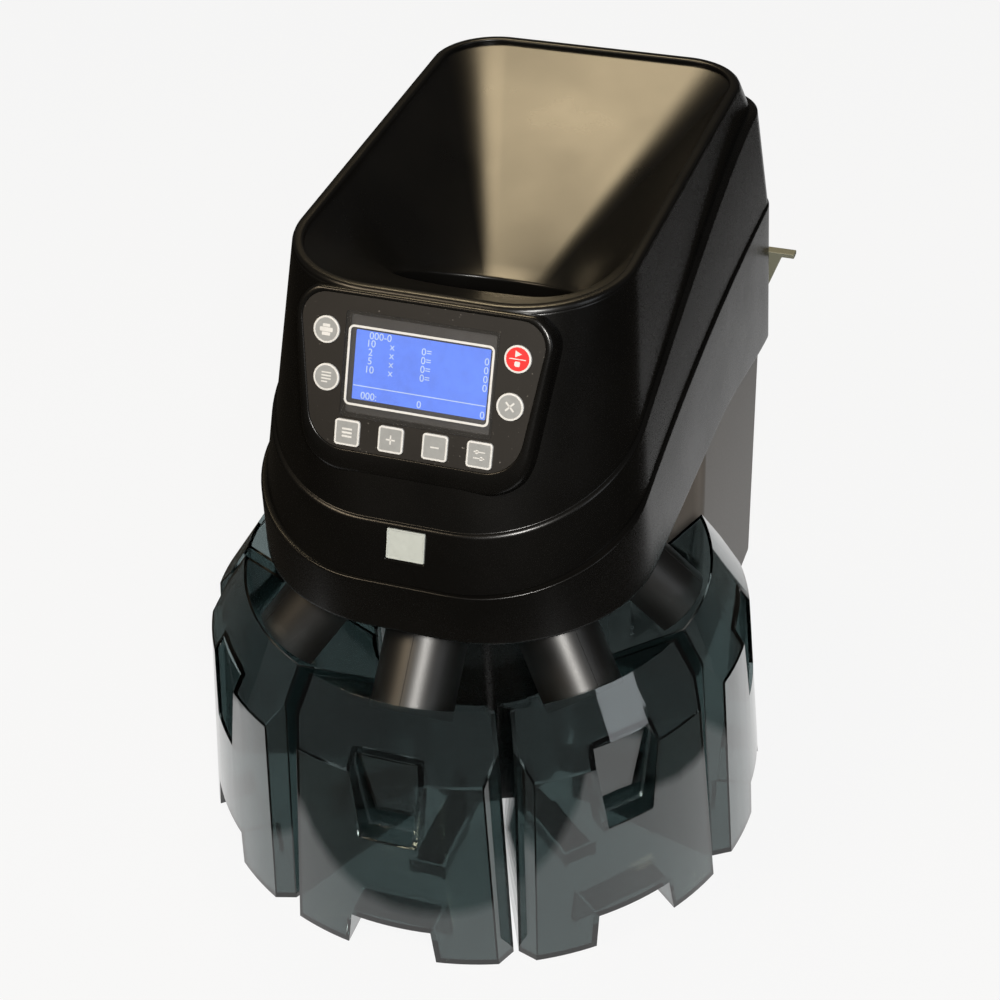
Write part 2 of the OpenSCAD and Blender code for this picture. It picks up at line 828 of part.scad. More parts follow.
module main_board() {
    y1 = board_y + standoff_h + board_size.y;
    color("darkgreen") {
        translate([-board_size.x / 2, board_y + standoff_h, board_z]) cube(board_size);
        for (s = [-1, 1], z = [standoff_inset, board_size.z - standoff_inset])
            translate([s * (board_size.x / 2 - standoff_inset), board_y, board_z + z]) rotate([-90, 0, 0])
                rod(standoff_r, 0, standoff_h);
        translate([-chip_size.x / 2, y1, board_z + chip_size.z]) cube(chip_size);
        for (s = [-1, 1]) translate([s * board_size.x / 4 - plug_size.x / 2, y1, board_z + standoff_inset])
            cube(plug_size);
    }
}

module rear_hook() {
    y0 = skirt_y1 + skirt_row[3];
    root_x = skirt_half_w - skirt_rear_r - hook_overlap;
    z0 = hook_z - hook_t - hook_gusset;
    color("gray") {
        block(root_x, hook_x, y0, y0 + hook_lip, hook_z - hook_t, hook_z);
        translate([0, y0 + hook_t, 0]) rotate([90, 0, 0]) slab([[root_x, z0],
            [hook_x - hook_toe - hook_slope, z0], [hook_x - hook_toe, hook_z - hook_t],
            [root_x, hook_z - hook_t]], 0, hook_t);
    }
}

// Housings and hopper

module lower_housing() {
    bottom = function(y) skirt_height(y);
    color("black") difference() {
        union() {
            ring_shell([edge_ring(skirt_face, 0, seam_line, -seam_gap),
                ring(skirt_face, 0, bottom), ring(skirt_face, -shell_t, bottom),
                edge_ring(skirt_face, -shell_t, seam_line, -tongue_root),
                edge_ring(band_face, -tongue_in, seam_line, -tongue_step),
                edge_ring(band_face, -tongue_in - tongue_lean, seam_line, tongue_up),
                edge_ring(band_face, -tongue_out - tongue_lean, seam_line, tongue_up),
                edge_ring(band_face, -tongue_out, seam_line, -seam_gap)]);
            slab(outline(grow(row_at(skirt_face, deck_z0), -shell_t / 2)), deck_z0, deck_z1);
            rod(bearing_r + bearing_wall, bearing_z0, bearing_z1);
        }
        for (k = [0:station_n - 1]) at_station(k) translate([0, -drop_r, 0])
            rod(tube_r - tube_t, deck_z0 - 1, deck_z1 + 1);
        rod(bearing_r, bearing_z0 - 1, bearing_z1 + 1);
    }
}

function panel_outline(side, top, bottom) =
    let (x1 = overlay_top + side, x0 = overlay_bottom + side)
    round_poly([[-x0, -overlay_down - bottom], [x0, -overlay_down - bottom], [x1, overlay_up + top],
        [-x1, overlay_up + top]],
        [overlay_bottom_r + side, overlay_bottom_r + side, overlay_top_r + side, overlay_top_r + side]);

module key_cuts(gap, w0, w1) {
    for (q = round_keys) translate([q.x, q.y, 0]) rod(round_key_d / 2 + gap, w0, w1);
    for (q = square_keys) translate([q.x, q.y, 0])
        slab(round_rect(square_key_w + 2 * gap, square_key_w + 2 * gap, square_key_r + gap), w0, w1);
}

module window_slab(d, w0, w1) {
    slab([for (q = round_rect(window_w + 2 * d, window_h + 2 * d, window_r)) q + [0, window_v]], w0, w1);
}

module upper_housing() {
    color("black") difference() {
        union() {
            ring_shell([flat_ring(upper_face, 0, lip_z0),
                edge_ring(upper_face, 0, crease_line), edge_ring(band_face, 0, crease_line),
                edge_ring(band_face, 0, seam_line), edge_ring(band_face, -shell_t, seam_line),
                edge_ring(band_face, -shell_t, crease_line, -shell_t),
                edge_ring(upper_face, -shell_t, crease_line, -shell_t),
                flat_ring(upper_face, -shell_t, lip_z0)]);
            on_panel() slab(panel_outline(bezel_w, bezel_top_w, bezel_w), plateau_w0, bezel_rise);
        }
        on_panel() {
            slab(panel_outline(0, 0, 0), -overlay_t, bezel_rise + 1);
            slab(panel_outline(-pocket_inset, -pocket_top, -pocket_inset), plateau_w0 - 1, panel_w0);
            key_cuts(key_gap, key_w0 - key_travel - 1, 1);
            window_slab(-ledge_w, panel_w0 - 1, 1);
        }
        badge_place() slab(round_rect(badge_w + 2 * badge_gap, badge_h + 2 * badge_gap, badge_r),
            -badge_t - badge_sink, badge_room);
    }
}

// The badge lies on the band's front, which leans back a little
module badge_place() {
    y = row_at(band_face, badge_z)[2];
    lean = atan2(band_row[2] - seam_row[2], band_row[0] - seam_row[0]);
    translate([0, y, badge_z]) rotate([90 - lean, 0, 0]) children();
}

module badge_plate() {
    color("lightgray") badge_place() slab(round_rect(badge_w, badge_h, badge_r),
        -badge_t - badge_sink, -badge_sink);
}

// The throat's edge: the rim's points drawn in to an ellipse, at a height that falls to the rear
function throat_ring(d, height) =
    [for (q = outline(grow(row_at(upper_face, lip_z0), -lip_w)))
        let (a = atan2((q.y - throat_y) / throat_half_l, q.x / throat_half_w),
            x = (throat_half_w + d) * cos(a), y = throat_y + (throat_half_l + d) * sin(a))
        [x, y, height(y)]];

module hopper_bowl() {
    edge = function(y) throat_z - throat_fall * (y - throat_y + throat_half_l);
    under_edge = function(y) edge(y) - hopper_t;
    well = function(y) well_z0;
    inset = lip_w - hopper_t;
    lip_under = flat_ring(upper_face, -inset, lip_z0);
    throat_under = throat_ring(hopper_t, under_edge);
    throat_top = throat_ring(0, edge);
    lip_top = flat_ring(upper_face, -lip_w, rim_z);
    color("black") ring_shell(concat(
        [flat_ring(upper_face, 0, rim_z), flat_ring(upper_face, 0, lip_z0), lip_under],
        between(lip_under, throat_under, hopper_steps),
        [throat_under, throat_ring(hopper_t, well), throat_ring(0, well), throat_top],
        between(throat_top, lip_top, hopper_steps), [lip_top]));
}

// Key panel

module panel_overlay() {
    color("black") on_panel() difference() {
        slab(panel_outline(0, 0, 0), overlay_w0, 0);
        key_cuts(key_gap, overlay_w0 - 1, 1);
        window_slab(0, overlay_w0 - 1, 1);
    }
}

module lcd_window() {
    color("lightblue", 0.3) on_panel() window_slab(0, overlay_w0, 0);
}

module lcd_frame() {
    line = 2 * frame_line;
    color("white") on_panel() difference() {
        slab(round_rect(frame_w, frame_h, frame_r), 0, frame_t);
        slab(round_rect(frame_w - line, frame_h - line, frame_r - frame_line), -1, frame_t + 1);
    }
}

module lcd_screen() {
    color("royalblue") on_panel() translate([0, screen_v, 0])
        slab(round_rect(screen_w, screen_h, screen_r), panel_w0, panel_w0 + screen_t);
}

module lcd_module() {
    color("dimgray") on_panel() window_slab(0, board_w1, panel_w0);
}

module key_mat() {
    color("gray") on_panel() difference() {
        slab(panel_outline(-board_inset, -board_inset, -board_down), board_w1, mat_w1);
        window_slab(mat_gap, board_w1 - 1, mat_w1 + 1);
    }
}

module key_board() {
    color("darkgreen") on_panel()
        slab(panel_outline(-board_inset, -board_inset, -board_down), board_w1 - board_t, board_w1);
}

module key_round(k) {
    color(k == 2 ? "firebrick" : "lightgray") on_panel() translate(concat(round_keys[k], 0))
        rod(round_key_d / 2, key_w0, key_rise);
}

module key_square(k) {
    color("lightgray") on_panel() translate(concat(square_keys[k], 0))
        slab(round_rect(square_key_w, square_key_w, square_key_r), key_w0, key_rise);
}

// Sorting unit

module carousel_disc() {
    color("dimgray") difference() {
        rod(disc_r, disc_z0, disc_z1);
        for (i = [0:pocket_n - 1]) rotate([0, 0, 360 * i / pocket_n]) translate([0, drop_r, 0])
            rod(pocket_r, disc_z0 - 1, disc_z1 + 1);
        rod(spindle_r, disc_z0 - 1, disc_z1 + 1);
    }
}

module drive_flange() {
    color("silver") difference() {
        rod(flange_r, disc_z0 - flange_h, disc_z0);
        rod(spindle_r, disc_z0 - flange_h - 1, disc_z0 + 1);
    }
}

module spindle() {
    color("silver") rod(spindle_r, bearing_z0, disc_z1);
}

module spindle_pulley() {
    color("silver") difference() {
        rod(pulley_r, pulley_z0, pulley_z0 + pulley_h);
        rod(spindle_r, pulley_z0 - 1, pulley_z0 + pulley_h + 1);
    }
}

module spindle_bearing() {
    color("silver") difference() {
        rod(bearing_r, bearing_z0, bearing_z1);
        rod(spindle_r + shaft_gap, bearing_z0 - 1, bearing_z1 + 1);
    }
}

module sorting_plate() {
    color("silver") difference() {
        rod(sort_r, sort_z - sort_t, sort_z);
        for (k = [0:station_n - 1]) at_station(k) translate([0, -drop_r, 0])
            rod(sort_hole_r[k], sort_z - sort_t - 1, sort_z + 1);
        rod(flange_r + flange_gap, sort_z - sort_t - 1, sort_z + 1);
    }
}

module drop_tubes() {
    color("dimgray") for (k = [0:station_n - 1]) at_station(k) translate([0, -drop_r, 0]) difference() {
        rod(tube_r, deck_z1, sort_z - sort_t);
        rod(tube_r - tube_t, deck_z1 - 1, sort_z);
    }
}

module coin_sensors() {
    color("darkgreen") for (k = [0:station_n - 1]) at_station(k)
        translate([-sensor_size.x / 2, tube_r + 1 - drop_r, sort_z - sort_t - sensor_size.z])
            cube(sensor_size);
}

// The outline of a belt round both pulleys
module belt_plan(d) {
    r1 = pulley_r + belt_gap + d;
    r2 = motor_pulley_r + belt_gap + d;
    tilt = asin((r1 - r2) / motor_y);
    union() {
        circle(r1);
        translate([0, motor_y]) circle(r2);
        polygon([[r1 * cos(tilt), r1 * sin(tilt)], [r2 * cos(tilt), motor_y + r2 * sin(tilt)],
            [-r2 * cos(tilt), motor_y + r2 * sin(tilt)], [-r1 * cos(tilt), r1 * sin(tilt)]]);
    }
}

module drive_belt() {
    color("black") translate([0, 0, pulley_z0 + 1]) linear_extrude(pulley_h - 2) difference() {
        belt_plan(belt_t);
        belt_plan(0);
    }
}

module at_motor() {
    translate([0, motor_y, 0]) children();
}

module motor_pulley() {
    color("silver") at_motor() {
        rod(motor_pulley_r, pulley_z0, pulley_z0 + pulley_h);
        rod(motor_shaft_r, pulley_z0, motor_z0 + motor_bore_h - 1);
    }
}

module drive_motor() {
    color("silver") at_motor() difference() {
        rod(motor_r, motor_z0, motor_z0 + motor_h);
        rod(motor_shaft_r + shaft_gap, motor_z0 - 1, motor_z0 + motor_bore_h);
    }
}

module motor_bracket() {
    w = bracket_half_w;
    color("gray") at_motor() difference() {
        union() {
            block(-w, w, -motor_r, motor_r, bracket_z0, motor_z0);
            for (s = [0, 1]) mirror([s, 0, 0]) block(w - bracket_leg, w, 0, motor_r, deck_z1, bracket_z0);
        }
        rod(motor_shaft_r + shaft_hole_gap, bracket_z0 - 1, motor_z0 + 1);
    }
}

// Chutes

// A hood's half circle with a short straight skirt below it
module chute_plan(t) {
    r = chute_r - t;
    polygon(concat([for (i = [0:hood_steps]) let (a = 180 + 180 * i / hood_steps) r * [cos(a), sin(a)]],
        [[r, chute_skirt - t], [-r, chute_skirt - t]]));
}

module chute(k) {
    color("black") at_station(k) intersection() {
        translate([0, -chute_end_r, chute_end_z]) rotate([chute_slope - 90, 0, 0])
            linear_extrude(chute_length) difference() {
                chute_plan(0);
                chute_plan(chute_t);
            }
        block(-big / 2, big / 2, -big / 2, 0, 0, deck_z0);
    }
}

base_hub();
box_runners();
front_neck();
rubber_feet();
rear_column();
column_cover();
cover_screws();
power_supply();
main_board();
switch_frame();
power_switch();
power_inlet();
data_port();
rear_hook();
lower_housing();
upper_housing();
hopper_bowl();
badge_plate();
panel_overlay();
lcd_window();
lcd_frame();
lcd_screen();
lcd_module();
key_mat();
key_board();
key_round(0);  // key_round_1
key_round(1);  // key_round_2
key_round(2);  // key_round_3
key_round(3);  // key_round_4
key_square(0);  // key_square_1
key_square(1);  // key_square_2
key_square(2);  // key_square_3
key_square(3);  // key_square_4
carousel_disc();
drive_flange();
spindle();
spindle_pulley();
spindle_bearing();
sorting_plate();
drop_tubes();
coin_sensors();
drive_belt();
motor_pulley();
drive_motor();
motor_bracket();
chute(0);  // chute_1
chute(1);  // chute_2
chute(2);  // chute_3
chute(3);  // chute_4
chute(4);  // chute_5
coin_box(0);  // coin_box_1
coin_box(1);  // coin_box_2
coin_box(2);  // coin_box_3
coin_box(3);  // coin_box_4
coin_box(4);  // coin_box_5
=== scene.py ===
"""Dresses the table-top coin sorter: smooth housings and hopper, key panel, display, boxes and stage."""

import bisect
import json
import math

import bmesh
import bpy
from bpy.props import FloatProperty, FloatVectorProperty, IntProperty, PointerProperty
from mathutils import Matrix, Vector


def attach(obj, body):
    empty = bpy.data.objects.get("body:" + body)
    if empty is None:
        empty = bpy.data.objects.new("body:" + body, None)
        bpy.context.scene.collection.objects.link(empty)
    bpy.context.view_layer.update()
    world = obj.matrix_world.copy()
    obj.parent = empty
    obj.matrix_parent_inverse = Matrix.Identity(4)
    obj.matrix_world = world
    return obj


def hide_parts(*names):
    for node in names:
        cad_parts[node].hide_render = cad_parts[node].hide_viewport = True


bl_info = {
    "name": "Coin sorter",
    "version": (1, 0, 0),
    "blender": (4, 5, 0),
    "location": "3D View > Sidebar > Coin sorter",
    "description": "Builds the housings, panel, boxes and stage of a table-top coin sorter",
    "category": "Object",
}

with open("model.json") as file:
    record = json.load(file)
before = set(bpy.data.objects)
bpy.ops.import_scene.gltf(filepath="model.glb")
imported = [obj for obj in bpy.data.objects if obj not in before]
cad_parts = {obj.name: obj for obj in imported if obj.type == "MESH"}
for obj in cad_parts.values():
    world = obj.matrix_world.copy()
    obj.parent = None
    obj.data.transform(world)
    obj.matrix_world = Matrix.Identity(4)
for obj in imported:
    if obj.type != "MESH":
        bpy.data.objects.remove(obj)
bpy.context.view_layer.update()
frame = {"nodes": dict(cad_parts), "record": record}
NODES = frame["nodes"]
SLOT_OF = {s["node"]: s["material_slot"] for s in frame["record"]["subparts"]}
BODY_OF = {n: b for b, ns in frame["record"]["behaviour"]["bodies"].items() for n in ns}
MM = 0.001

# The head's outlines in millimetres: height, half width, front, rear offset, front radius,
# rear radius offset and flare towards the rear
RIM_Z, LIP_T, LIP_W = 360.0, 2.5, 6.5
LIP_Z0 = RIM_Z - LIP_T
CREASE_Z, CREASE_RISE, CREASE_POWER, CREASE_Y0 = 246.5, 90.0, 1.45, -100.0
SEAM_Z, SEAM_RISE, SEAM_POWER, SEAM_Y0 = 218.0, 50.0, 2.4, -109.5
SKIRT_Z, SKIRT_DROP, DROP_START = 190.0, 18.0, 120.0
RIM_Y1, SKIRT_Y1, REAR_BEND_Z, REAR_POWER = 246.0, 266.0, 260.0, 3.0
RIM_REAR_R, SKIRT_REAR_R = 37.0, 22.0
BAND_STEP, BAND_FRONT, SKIRT_STEP, SHELL_T, DECK_T = 2.0, 0.9, 0.9, 3.0, 3.0
SKIRT_REAR = BAND_STEP + SKIRT_STEP
RIM_ROW = (RIM_Z, 91.5, -53.0, 0.0, 58.0, 0.0, 0.015)
CREASE_ROW = (CREASE_Z, 102.0, CREASE_Y0, 0.0, 80.0, 0.0, 0.035)
BAND_ROW = (CREASE_Z, 104.0, CREASE_Y0 - BAND_FRONT, BAND_STEP, 82.0, BAND_STEP, 0.038)
SEAM_ROW = (SEAM_Z, 107.0, SEAM_Y0, BAND_STEP, 85.0, BAND_STEP, 0.03)
SKIRT_TOP_ROW = (SEAM_Z, 107.9, SEAM_Y0 - SKIRT_STEP, SKIRT_REAR, 85.9, SKIRT_REAR, 0.01)
SKIRT_ROW = (SKIRT_Z, 110.0, -110.5, SKIRT_REAR, 90.0, SKIRT_REAR, 0.0)
UPPER_FACE = (CREASE_ROW, RIM_ROW)
BAND_FACE = (SEAM_ROW, BAND_ROW)
SKIRT_FACE = (SKIRT_ROW, SKIRT_TOP_ROW)

# Hopper throat and sorting unit
THROAT_Y, THROAT_HALF_W, THROAT_HALF_L = 40.0, 55.0, 38.0
THROAT_Z, THROAT_FALL, HOPPER_T, WELL_Z0 = 332.0, 0.5, 2.5, 264.6

# Key panel: its place, and heights along its normal
PANEL_LEAN, PANEL_Y, PANEL_Z = 22.4, -69.6, 324.1
OVERLAY_TOP, OVERLAY_BOTTOM, OVERLAY_UP, OVERLAY_DOWN = 66.0, 54.5, 35.0, 43.7
OVERLAY_TOP_R, OVERLAY_BOTTOM_R = 13.0, 20.0
PLATEAU_W0 = -13.0
WINDOW_W, WINDOW_H, WINDOW_V, LEDGE_W = 81.0, 54.5, 0.3, 2.0
SCREEN_W, SCREEN_V, SCREEN_FACE = 71.0, 0.0, -2.8
KEY_GAP, KEY_FACE = 0.3, 0.7
ROUND_KEYS = ((-50.5, 16.0), (-48.8, -8.2), (50.5, 16.0), (48.8, -8.2))
SQUARE_KEYS = tuple((k * 23.6, -35.0) for k in (-1.5, -0.5, 0.5, 1.5))
ROUND_KEY_D, SQUARE_KEY_W = 14.0, 13.5

# Badge on the band, chutes and drop places
BADGE_Z, BADGE_W, BADGE_H, BADGE_T, BADGE_SINK, BADGE_GAP = 241.0, 20.6, 16.4, 1.2, 0.5, 0.5
STATIONS = tuple(k * 49.6 for k in range(-2, 3))
CHUTE_END_R, CHUTE_END_Z, CHUTE_SLOPE, CHUTE_R = 112.0, 134.5, 46.0, 22.5
DROP_PLACE_R, DROP_HOLE_R = 69.0, 14.2
BEARING_BOSS_R, BEARING_Z0, BEARING_Z1 = 12.0, 184.0, 200.0

# How finely the outlines are drawn, and how often a ring's height is worked out again
CORNER_STEPS, SIDE_STEPS, END_STEPS, HEIGHT_ROUNDS = 26, 30, 14, 4
# Angles from which an edge stays sharp on a shell, a rolled and a softened piece
SHELL_ANGLE, ROLLED_ANGLE, SOFT_ANGLE = 40.0, 45.0, 38.0
# Angles from which an edge is rounded on a solid and on a flat piece
EDGE_ANGLE, FLAT_ANGLE = 33.0, 50.0
# Faces that turn by less than this angle are one face
SAME_FACE = 0.4
# Points closer than this are one point
MERGE = 0.002 * MM


# Sizes and colours a user would change

def length(name, description, default, low, high):
    """A size setting, written in millimetres."""
    return FloatProperty(name=name, description=description, default=default * MM, min=low * MM,
        max=high * MM, subtype="DISTANCE")


def tint(name, description, default):
    """A colour setting."""
    return FloatVectorProperty(name=name, description=description, default=default, min=0, max=1,
        subtype="COLOR")


def power(name, description, default):
    """A lamp's power setting, in watts."""
    return FloatProperty(name=name, description=description, default=default, min=0, max=200,
        subtype="POWER")


class SorterSizes(bpy.types.PropertyGroup):
    """Rounding of the moulded edges."""

    box_edge: length("Box edges", "Rounding of the see-through coin boxes", 0.7, 0.1, 1.1)
    chute_edge: length("Chute edges", "Rounding of the chute mouths", 0.5, 0.1, 0.9)
    key_edge: length("Key edges", "Rounding of the key caps", 0.35, 0.05, 0.6)
    key_border: length("Key border", "Width of the pale border on a key", 0.95, 0.3, 2)
    panel_edge: length("Sheet edges", "Rounding of the column, cover and fittings", 0.6, 0.1, 1.2)
    edge_segments: IntProperty(name="Edge segments", description="Facets across a rounded edge", default=3,
        min=1, max=6)


class SorterColours(bpy.types.PropertyGroup):
    """Colours of the finishes."""

    housing: tint("Housing", "Satin housing plastic", (0.003, 0.0028, 0.0025))
    smoky: tint("Boxes", "Tint of the see-through boxes", (0.21, 0.265, 0.265))
    overlay: tint("Overlay", "Matt overlay of the key panel", (0.0095, 0.008, 0.0065))
    key_face: tint("Key face", "Grey of the keys", (0.27, 0.28, 0.285))
    key_red: tint("Red key", "Red of the run key", (0.72, 0.03, 0.03))
    key_border: tint("Key border", "Pale border and signs of the keys", (0.6, 0.606, 0.606))
    display: tint("Display", "Lit display", (0.14, 0.27, 1.0))
    display_ink: tint("Display figures", "Figures on the display", (0.62, 0.76, 1.0))
    column: tint("Column", "Painted sheet of the rear column", (0.115, 0.103, 0.092))
    hook: tint("Hook", "Painted sheet of the rear hook", (0.2, 0.2, 0.15))
    badge: tint("Badge", "Bare badge plate", (0.42, 0.455, 0.44))


class SorterStage(bpy.types.PropertyGroup):
    """Floor and light."""

    floor: tint("Floor", "Pale floor", (0.42, 0.42, 0.42))
    world: FloatProperty(name="Room light", description="Strength of the even room light", default=0.04,
        min=0, max=2)
    main_light: power("Main light", "Light from the front right", 18.0)
    warm_light: power("Warm light", "Soft warm light from the front left", 11.0)
    side_light: power("Side light", "Soft light from the right", 2.0)
    top_light: power("Top light", "Soft warm light from above", 7.0)


def sizes():
    return bpy.context.scene.sorter_sizes


def rgba(colour, factor=1.0):
    return tuple(min(1.0, c * factor) for c in colour) + (1.0,)


# Finishes

class Field:
    """A shader socket that takes part in plain arithmetic."""

    def __init__(self, finish, socket):
        self.finish, self.socket = finish, socket

    def _math(self, operation, other):
        return self.finish.node("ShaderNodeMath", {0: self, 1: other}, operation=operation)

    def __add__(self, other):
        return self._math("ADD", other)

    def __sub__(self, other):
        return self._math("SUBTRACT", other)

    def __mul__(self, other):
        return self._math("MULTIPLY", other)

    __radd__ = __add__


class Tree:
    """A node tree whose nodes all come from one method."""

    def __init__(self, tree, output):
        self.tree = tree
        self.tree.nodes.clear()
        self.output = self.tree.nodes.new(output)

    def fill(self, node, values):
        for key, value in values.items():
            if isinstance(value, Field):
                self.tree.links.new(value.socket, node.inputs[key])
            else:
                node.inputs[key].default_value = value

    def node(self, kind, values=None, output=0, **settings):
        made = self.tree.nodes.new(kind)
        for key, value in settings.items():
            setattr(made, key, value)
        self.fill(made, values or {})
        return Field(self, made.outputs[output])

    def show(self, shader):
        self.tree.links.new(shader.socket, self.output.inputs["Surface"])

    def light_path(self, ray):
        return self.node("ShaderNodeLightPath", output="Is %s Ray" % ray)


class Finish(Tree):
    """One procedural material, built around a single surface shader."""

    def __init__(self, name):
        self.material = bpy.data.materials.new(name)
        self.material.use_nodes = True
        super().__init__(self.material.node_tree, "ShaderNodeOutputMaterial")
        self.surface = self.tree.nodes.new("ShaderNodeBsdfPrincipled")
        self.show(Field(self, self.surface.outputs[0]))

    def place(self):
        return self.node("ShaderNodeTexCoord", output="Object")

    def noise(self, scale, detail, stretch=None):
        vector = self.place()
        if stretch:
            vector = self.node("ShaderNodeMapping", {"Vector": vector, "Scale": stretch})
        return self.node("ShaderNodeTexNoise", {"Vector": vector, "Scale": scale, "Detail": detail})

    def ramp(self, value, low, high, to_low=0.0, to_high=1.0):
        return self.node("ShaderNodeMapRange", {"Value": value, "From Min": low, "From Max": high,
            "To Min": to_low, "To Max": to_high})

    def mix(self, mask, a, b):
        return self.node("ShaderNodeMix", {0: mask, 6: a, 7: b}, 2, data_type="RGBA")

    def tones(self, mask, colour, low, high):
        return self.mix(mask, rgba(colour, low), rgba(colour, high))

    def bump(self, height, strength, distance):
        return self.node("ShaderNodeBump", {"Height": height, "Strength": strength, "Distance": distance})

    def shade(self, **values):
        self.fill(self.surface, {k.replace("_", " "): v for k, v in values.items()})
        return self.material


def moulded(name, colour, roughness, grain, grain_scale=1500.0, dust=0.0, clouds=0.15, gloss=0.5):
    """Moulded plastic: fine grain, cloudy gloss and, if wanted, a few specks of dust."""
    f = Finish(name)
    fine = f.noise(grain_scale, 2.0)
    soft = f.noise(22.0, 4.0)
    tone = f.tones(f.ramp(soft, 0.35, 0.65), colour, 1 - clouds, 1 + clouds)
    if dust:
        speck = f.ramp(f.noise(760.0, 1.0), 0.745, 0.79)
        tone = f.mix(speck * dust, tone, (0.35, 0.33, 0.3, 1.0))
    rough = roughness + (fine - 0.5) * grain + (soft - 0.5) * 0.1
    return f.shade(Base_Color=tone, Roughness=rough, Specular_IOR_Level=gloss,
        Normal=f.bump(fine, grain, 0.00018))


def smoky_plastic(name, colour):
    """Clear smoky plastic with a faint haze, flow lines and rubbed gloss."""
    f = Finish(name)
    cloud = f.noise(16.0, 4.0)
    rub = f.noise(90.0, 3.0, (1.0, 1.0, 0.12))
    tone = f.tones(f.ramp(cloud, 0.3, 0.7), colour, 0.94, 1.06)
    rough = f.ramp(rub, 0.35, 0.75, 0.02, 0.07)
    return f.shade(Base_Color=tone, Roughness=rough, IOR=1.48, Transmission_Weight=1.0,
        Coat_Weight=1.0, Coat_IOR=1.5, Coat_Roughness=0.03, Normal=f.bump(cloud, 0.04, 0.0006))


def metal(name, colour, roughness, stretch):
    """Metal with brushed lines along one axis."""
    f = Finish(name)
    lines = f.noise(260.0, 3.0, stretch)
    tone = f.tones(lines, colour, 0.82, 1.12)
    return f.shade(Base_Color=tone, Metallic=1.0, Roughness=roughness + (lines - 0.5) * 0.2,
        Normal=f.bump(lines, 0.08, 0.0002))


def painted(name, colour):
    """Painted sheet metal with a fine orange-peel skin."""
    f = Finish(name)
    peel = f.noise(620.0, 2.0)
    cloud = f.noise(9.0, 3.0)
    tone = f.tones(cloud, colour, 0.88, 1.1)
    return f.shade(Base_Color=tone, Roughness=0.42 + (peel - 0.5) * 0.1,
        Normal=f.bump(peel, 0.1, 0.0002))


def printed(name, colour):
    """Printed or light moulded plastic with a slightly worn surface."""
    f = Finish(name)
    wear = f.noise(300.0, 4.0)
    tone = f.tones(f.ramp(wear, 0.3, 0.7), colour, 0.95, 1.04)
    return f.shade(Base_Color=tone, Roughness=0.42 + (wear - 0.5) * 0.1, Normal=f.bump(wear, 0.03, 0.0001))


def lit(name, colour, strength, uneven):
    """A lit display face, a little uneven across its width."""
    f = Finish(name)
    cloud = f.noise(26.0, 2.0)
    tone = f.tones(f.ramp(cloud, 0.3, 0.7), colour, 1 - uneven, 1 + uneven)
    return f.shade(Base_Color=rgba(colour, 0.25), Emission_Color=tone, Emission_Strength=strength,
        Roughness=0.3)


def clear_sheet(name):
    """The clear window in the overlay, with faint rubbing."""
    f = Finish(name)
    rub = f.noise(150.0, 3.0)
    return f.shade(Base_Color=(0.1, 0.097, 0.093, 1.0), Roughness=f.ramp(rub, 0.3, 0.7, 0.2, 0.34),
        Alpha=f.ramp(rub, 0.2, 0.8, 0.12, 0.19))


def rubber(name, colour):
    """Matt rubber with a fine grain."""
    f = Finish(name)
    fine = f.noise(900.0, 3.0)
    tone = f.tones(fine, colour, 0.75, 1.25)
    return f.shade(Base_Color=tone, Roughness=0.78 + (fine - 0.5) * 0.2, Normal=f.bump(fine, 0.2, 0.0002))


def board(name):
    """A circuit board: green lacquer with fine copper lines under it."""
    f = Finish(name)
    lines = f.noise(240.0, 1.0, (1.0, 0.15, 1.0))
    tone = f.mix(f.ramp(lines, 0.48, 0.53), (0.01, 0.09, 0.035, 1.0), (0.03, 0.2, 0.08, 1.0))
    return f.shade(Base_Color=tone, Roughness=0.4, Normal=f.bump(lines, 0.1, 0.0001))


FINISHES = {}


def make_finishes():
    """One finish for each material slot of the record, and those of the printed details."""
    c = bpy.context.scene.sorter_colours
    FINISHES.update({
        "black_plastic": moulded("satin_black", c.housing, 0.27, 0.1, gloss=0.36),
        "hopper": moulded("hopper_black", c.housing, 0.29, 0.012, gloss=0.42),
        "chute": moulded("chute_black", c.housing, 0.42, 0.12, gloss=0.72),
        "dark_grey_plastic": moulded("dark_grey", (0.05, 0.05, 0.052), 0.5, 0.2, clouds=0.25),
        "smoky_plastic": smoky_plastic("smoky_clear", c.smoky),
        "light_grey_plastic": printed("pale_grey_print", c.key_border),
        "key_face": printed("key_grey", c.key_face),
        "red_plastic": printed("key_red", c.key_red),
        "clear_plastic": clear_sheet("clear_window"),
        "blue_display": lit("lit_display", c.display, 1.15, 0.06),
        "display_ink": lit("display_figures", c.display_ink, 1.0, 0.03),
        "black_rubber": rubber("black_rubber", (0.02, 0.02, 0.02)),
        "grey_rubber": rubber("grey_rubber", (0.25, 0.25, 0.26)),
        "steel": metal("brushed_steel", (0.55, 0.55, 0.56), 0.36, (1.0, 1.0, 0.05)),
        "aluminium": metal("satin_aluminium", (0.66, 0.66, 0.67), 0.34, (0.06, 1.0, 1.0)),
        "badge": printed("badge_plate", c.badge),
        "grey_metal": painted("grey_paint", c.hook),
        "column_paint": painted("column_paint", c.column),
        "circuit_board": board("circuit_board"),
        "overlay": moulded("matt_overlay", c.overlay, 0.5, 0.1, 2200.0, dust=0.45, clouds=0.1),
    })


# Modelling helpers

def set_mode(mode):
    bpy.ops.object.mode_set(mode=mode)


def clear_selection():
    if bpy.context.object and bpy.context.object.mode != "OBJECT":
        set_mode("OBJECT")
    bpy.ops.object.select_all(action="DESELECT")


def focus(piece):
    clear_selection()
    piece.select_set(True)
    bpy.context.view_layer.objects.active = piece
    return piece


def added(operator, name, **settings):
    """A new object from one of Blender's add operators."""
    clear_selection()
    operator(**settings)
    made = bpy.context.object
    made.name = made.data.name = name
    return made


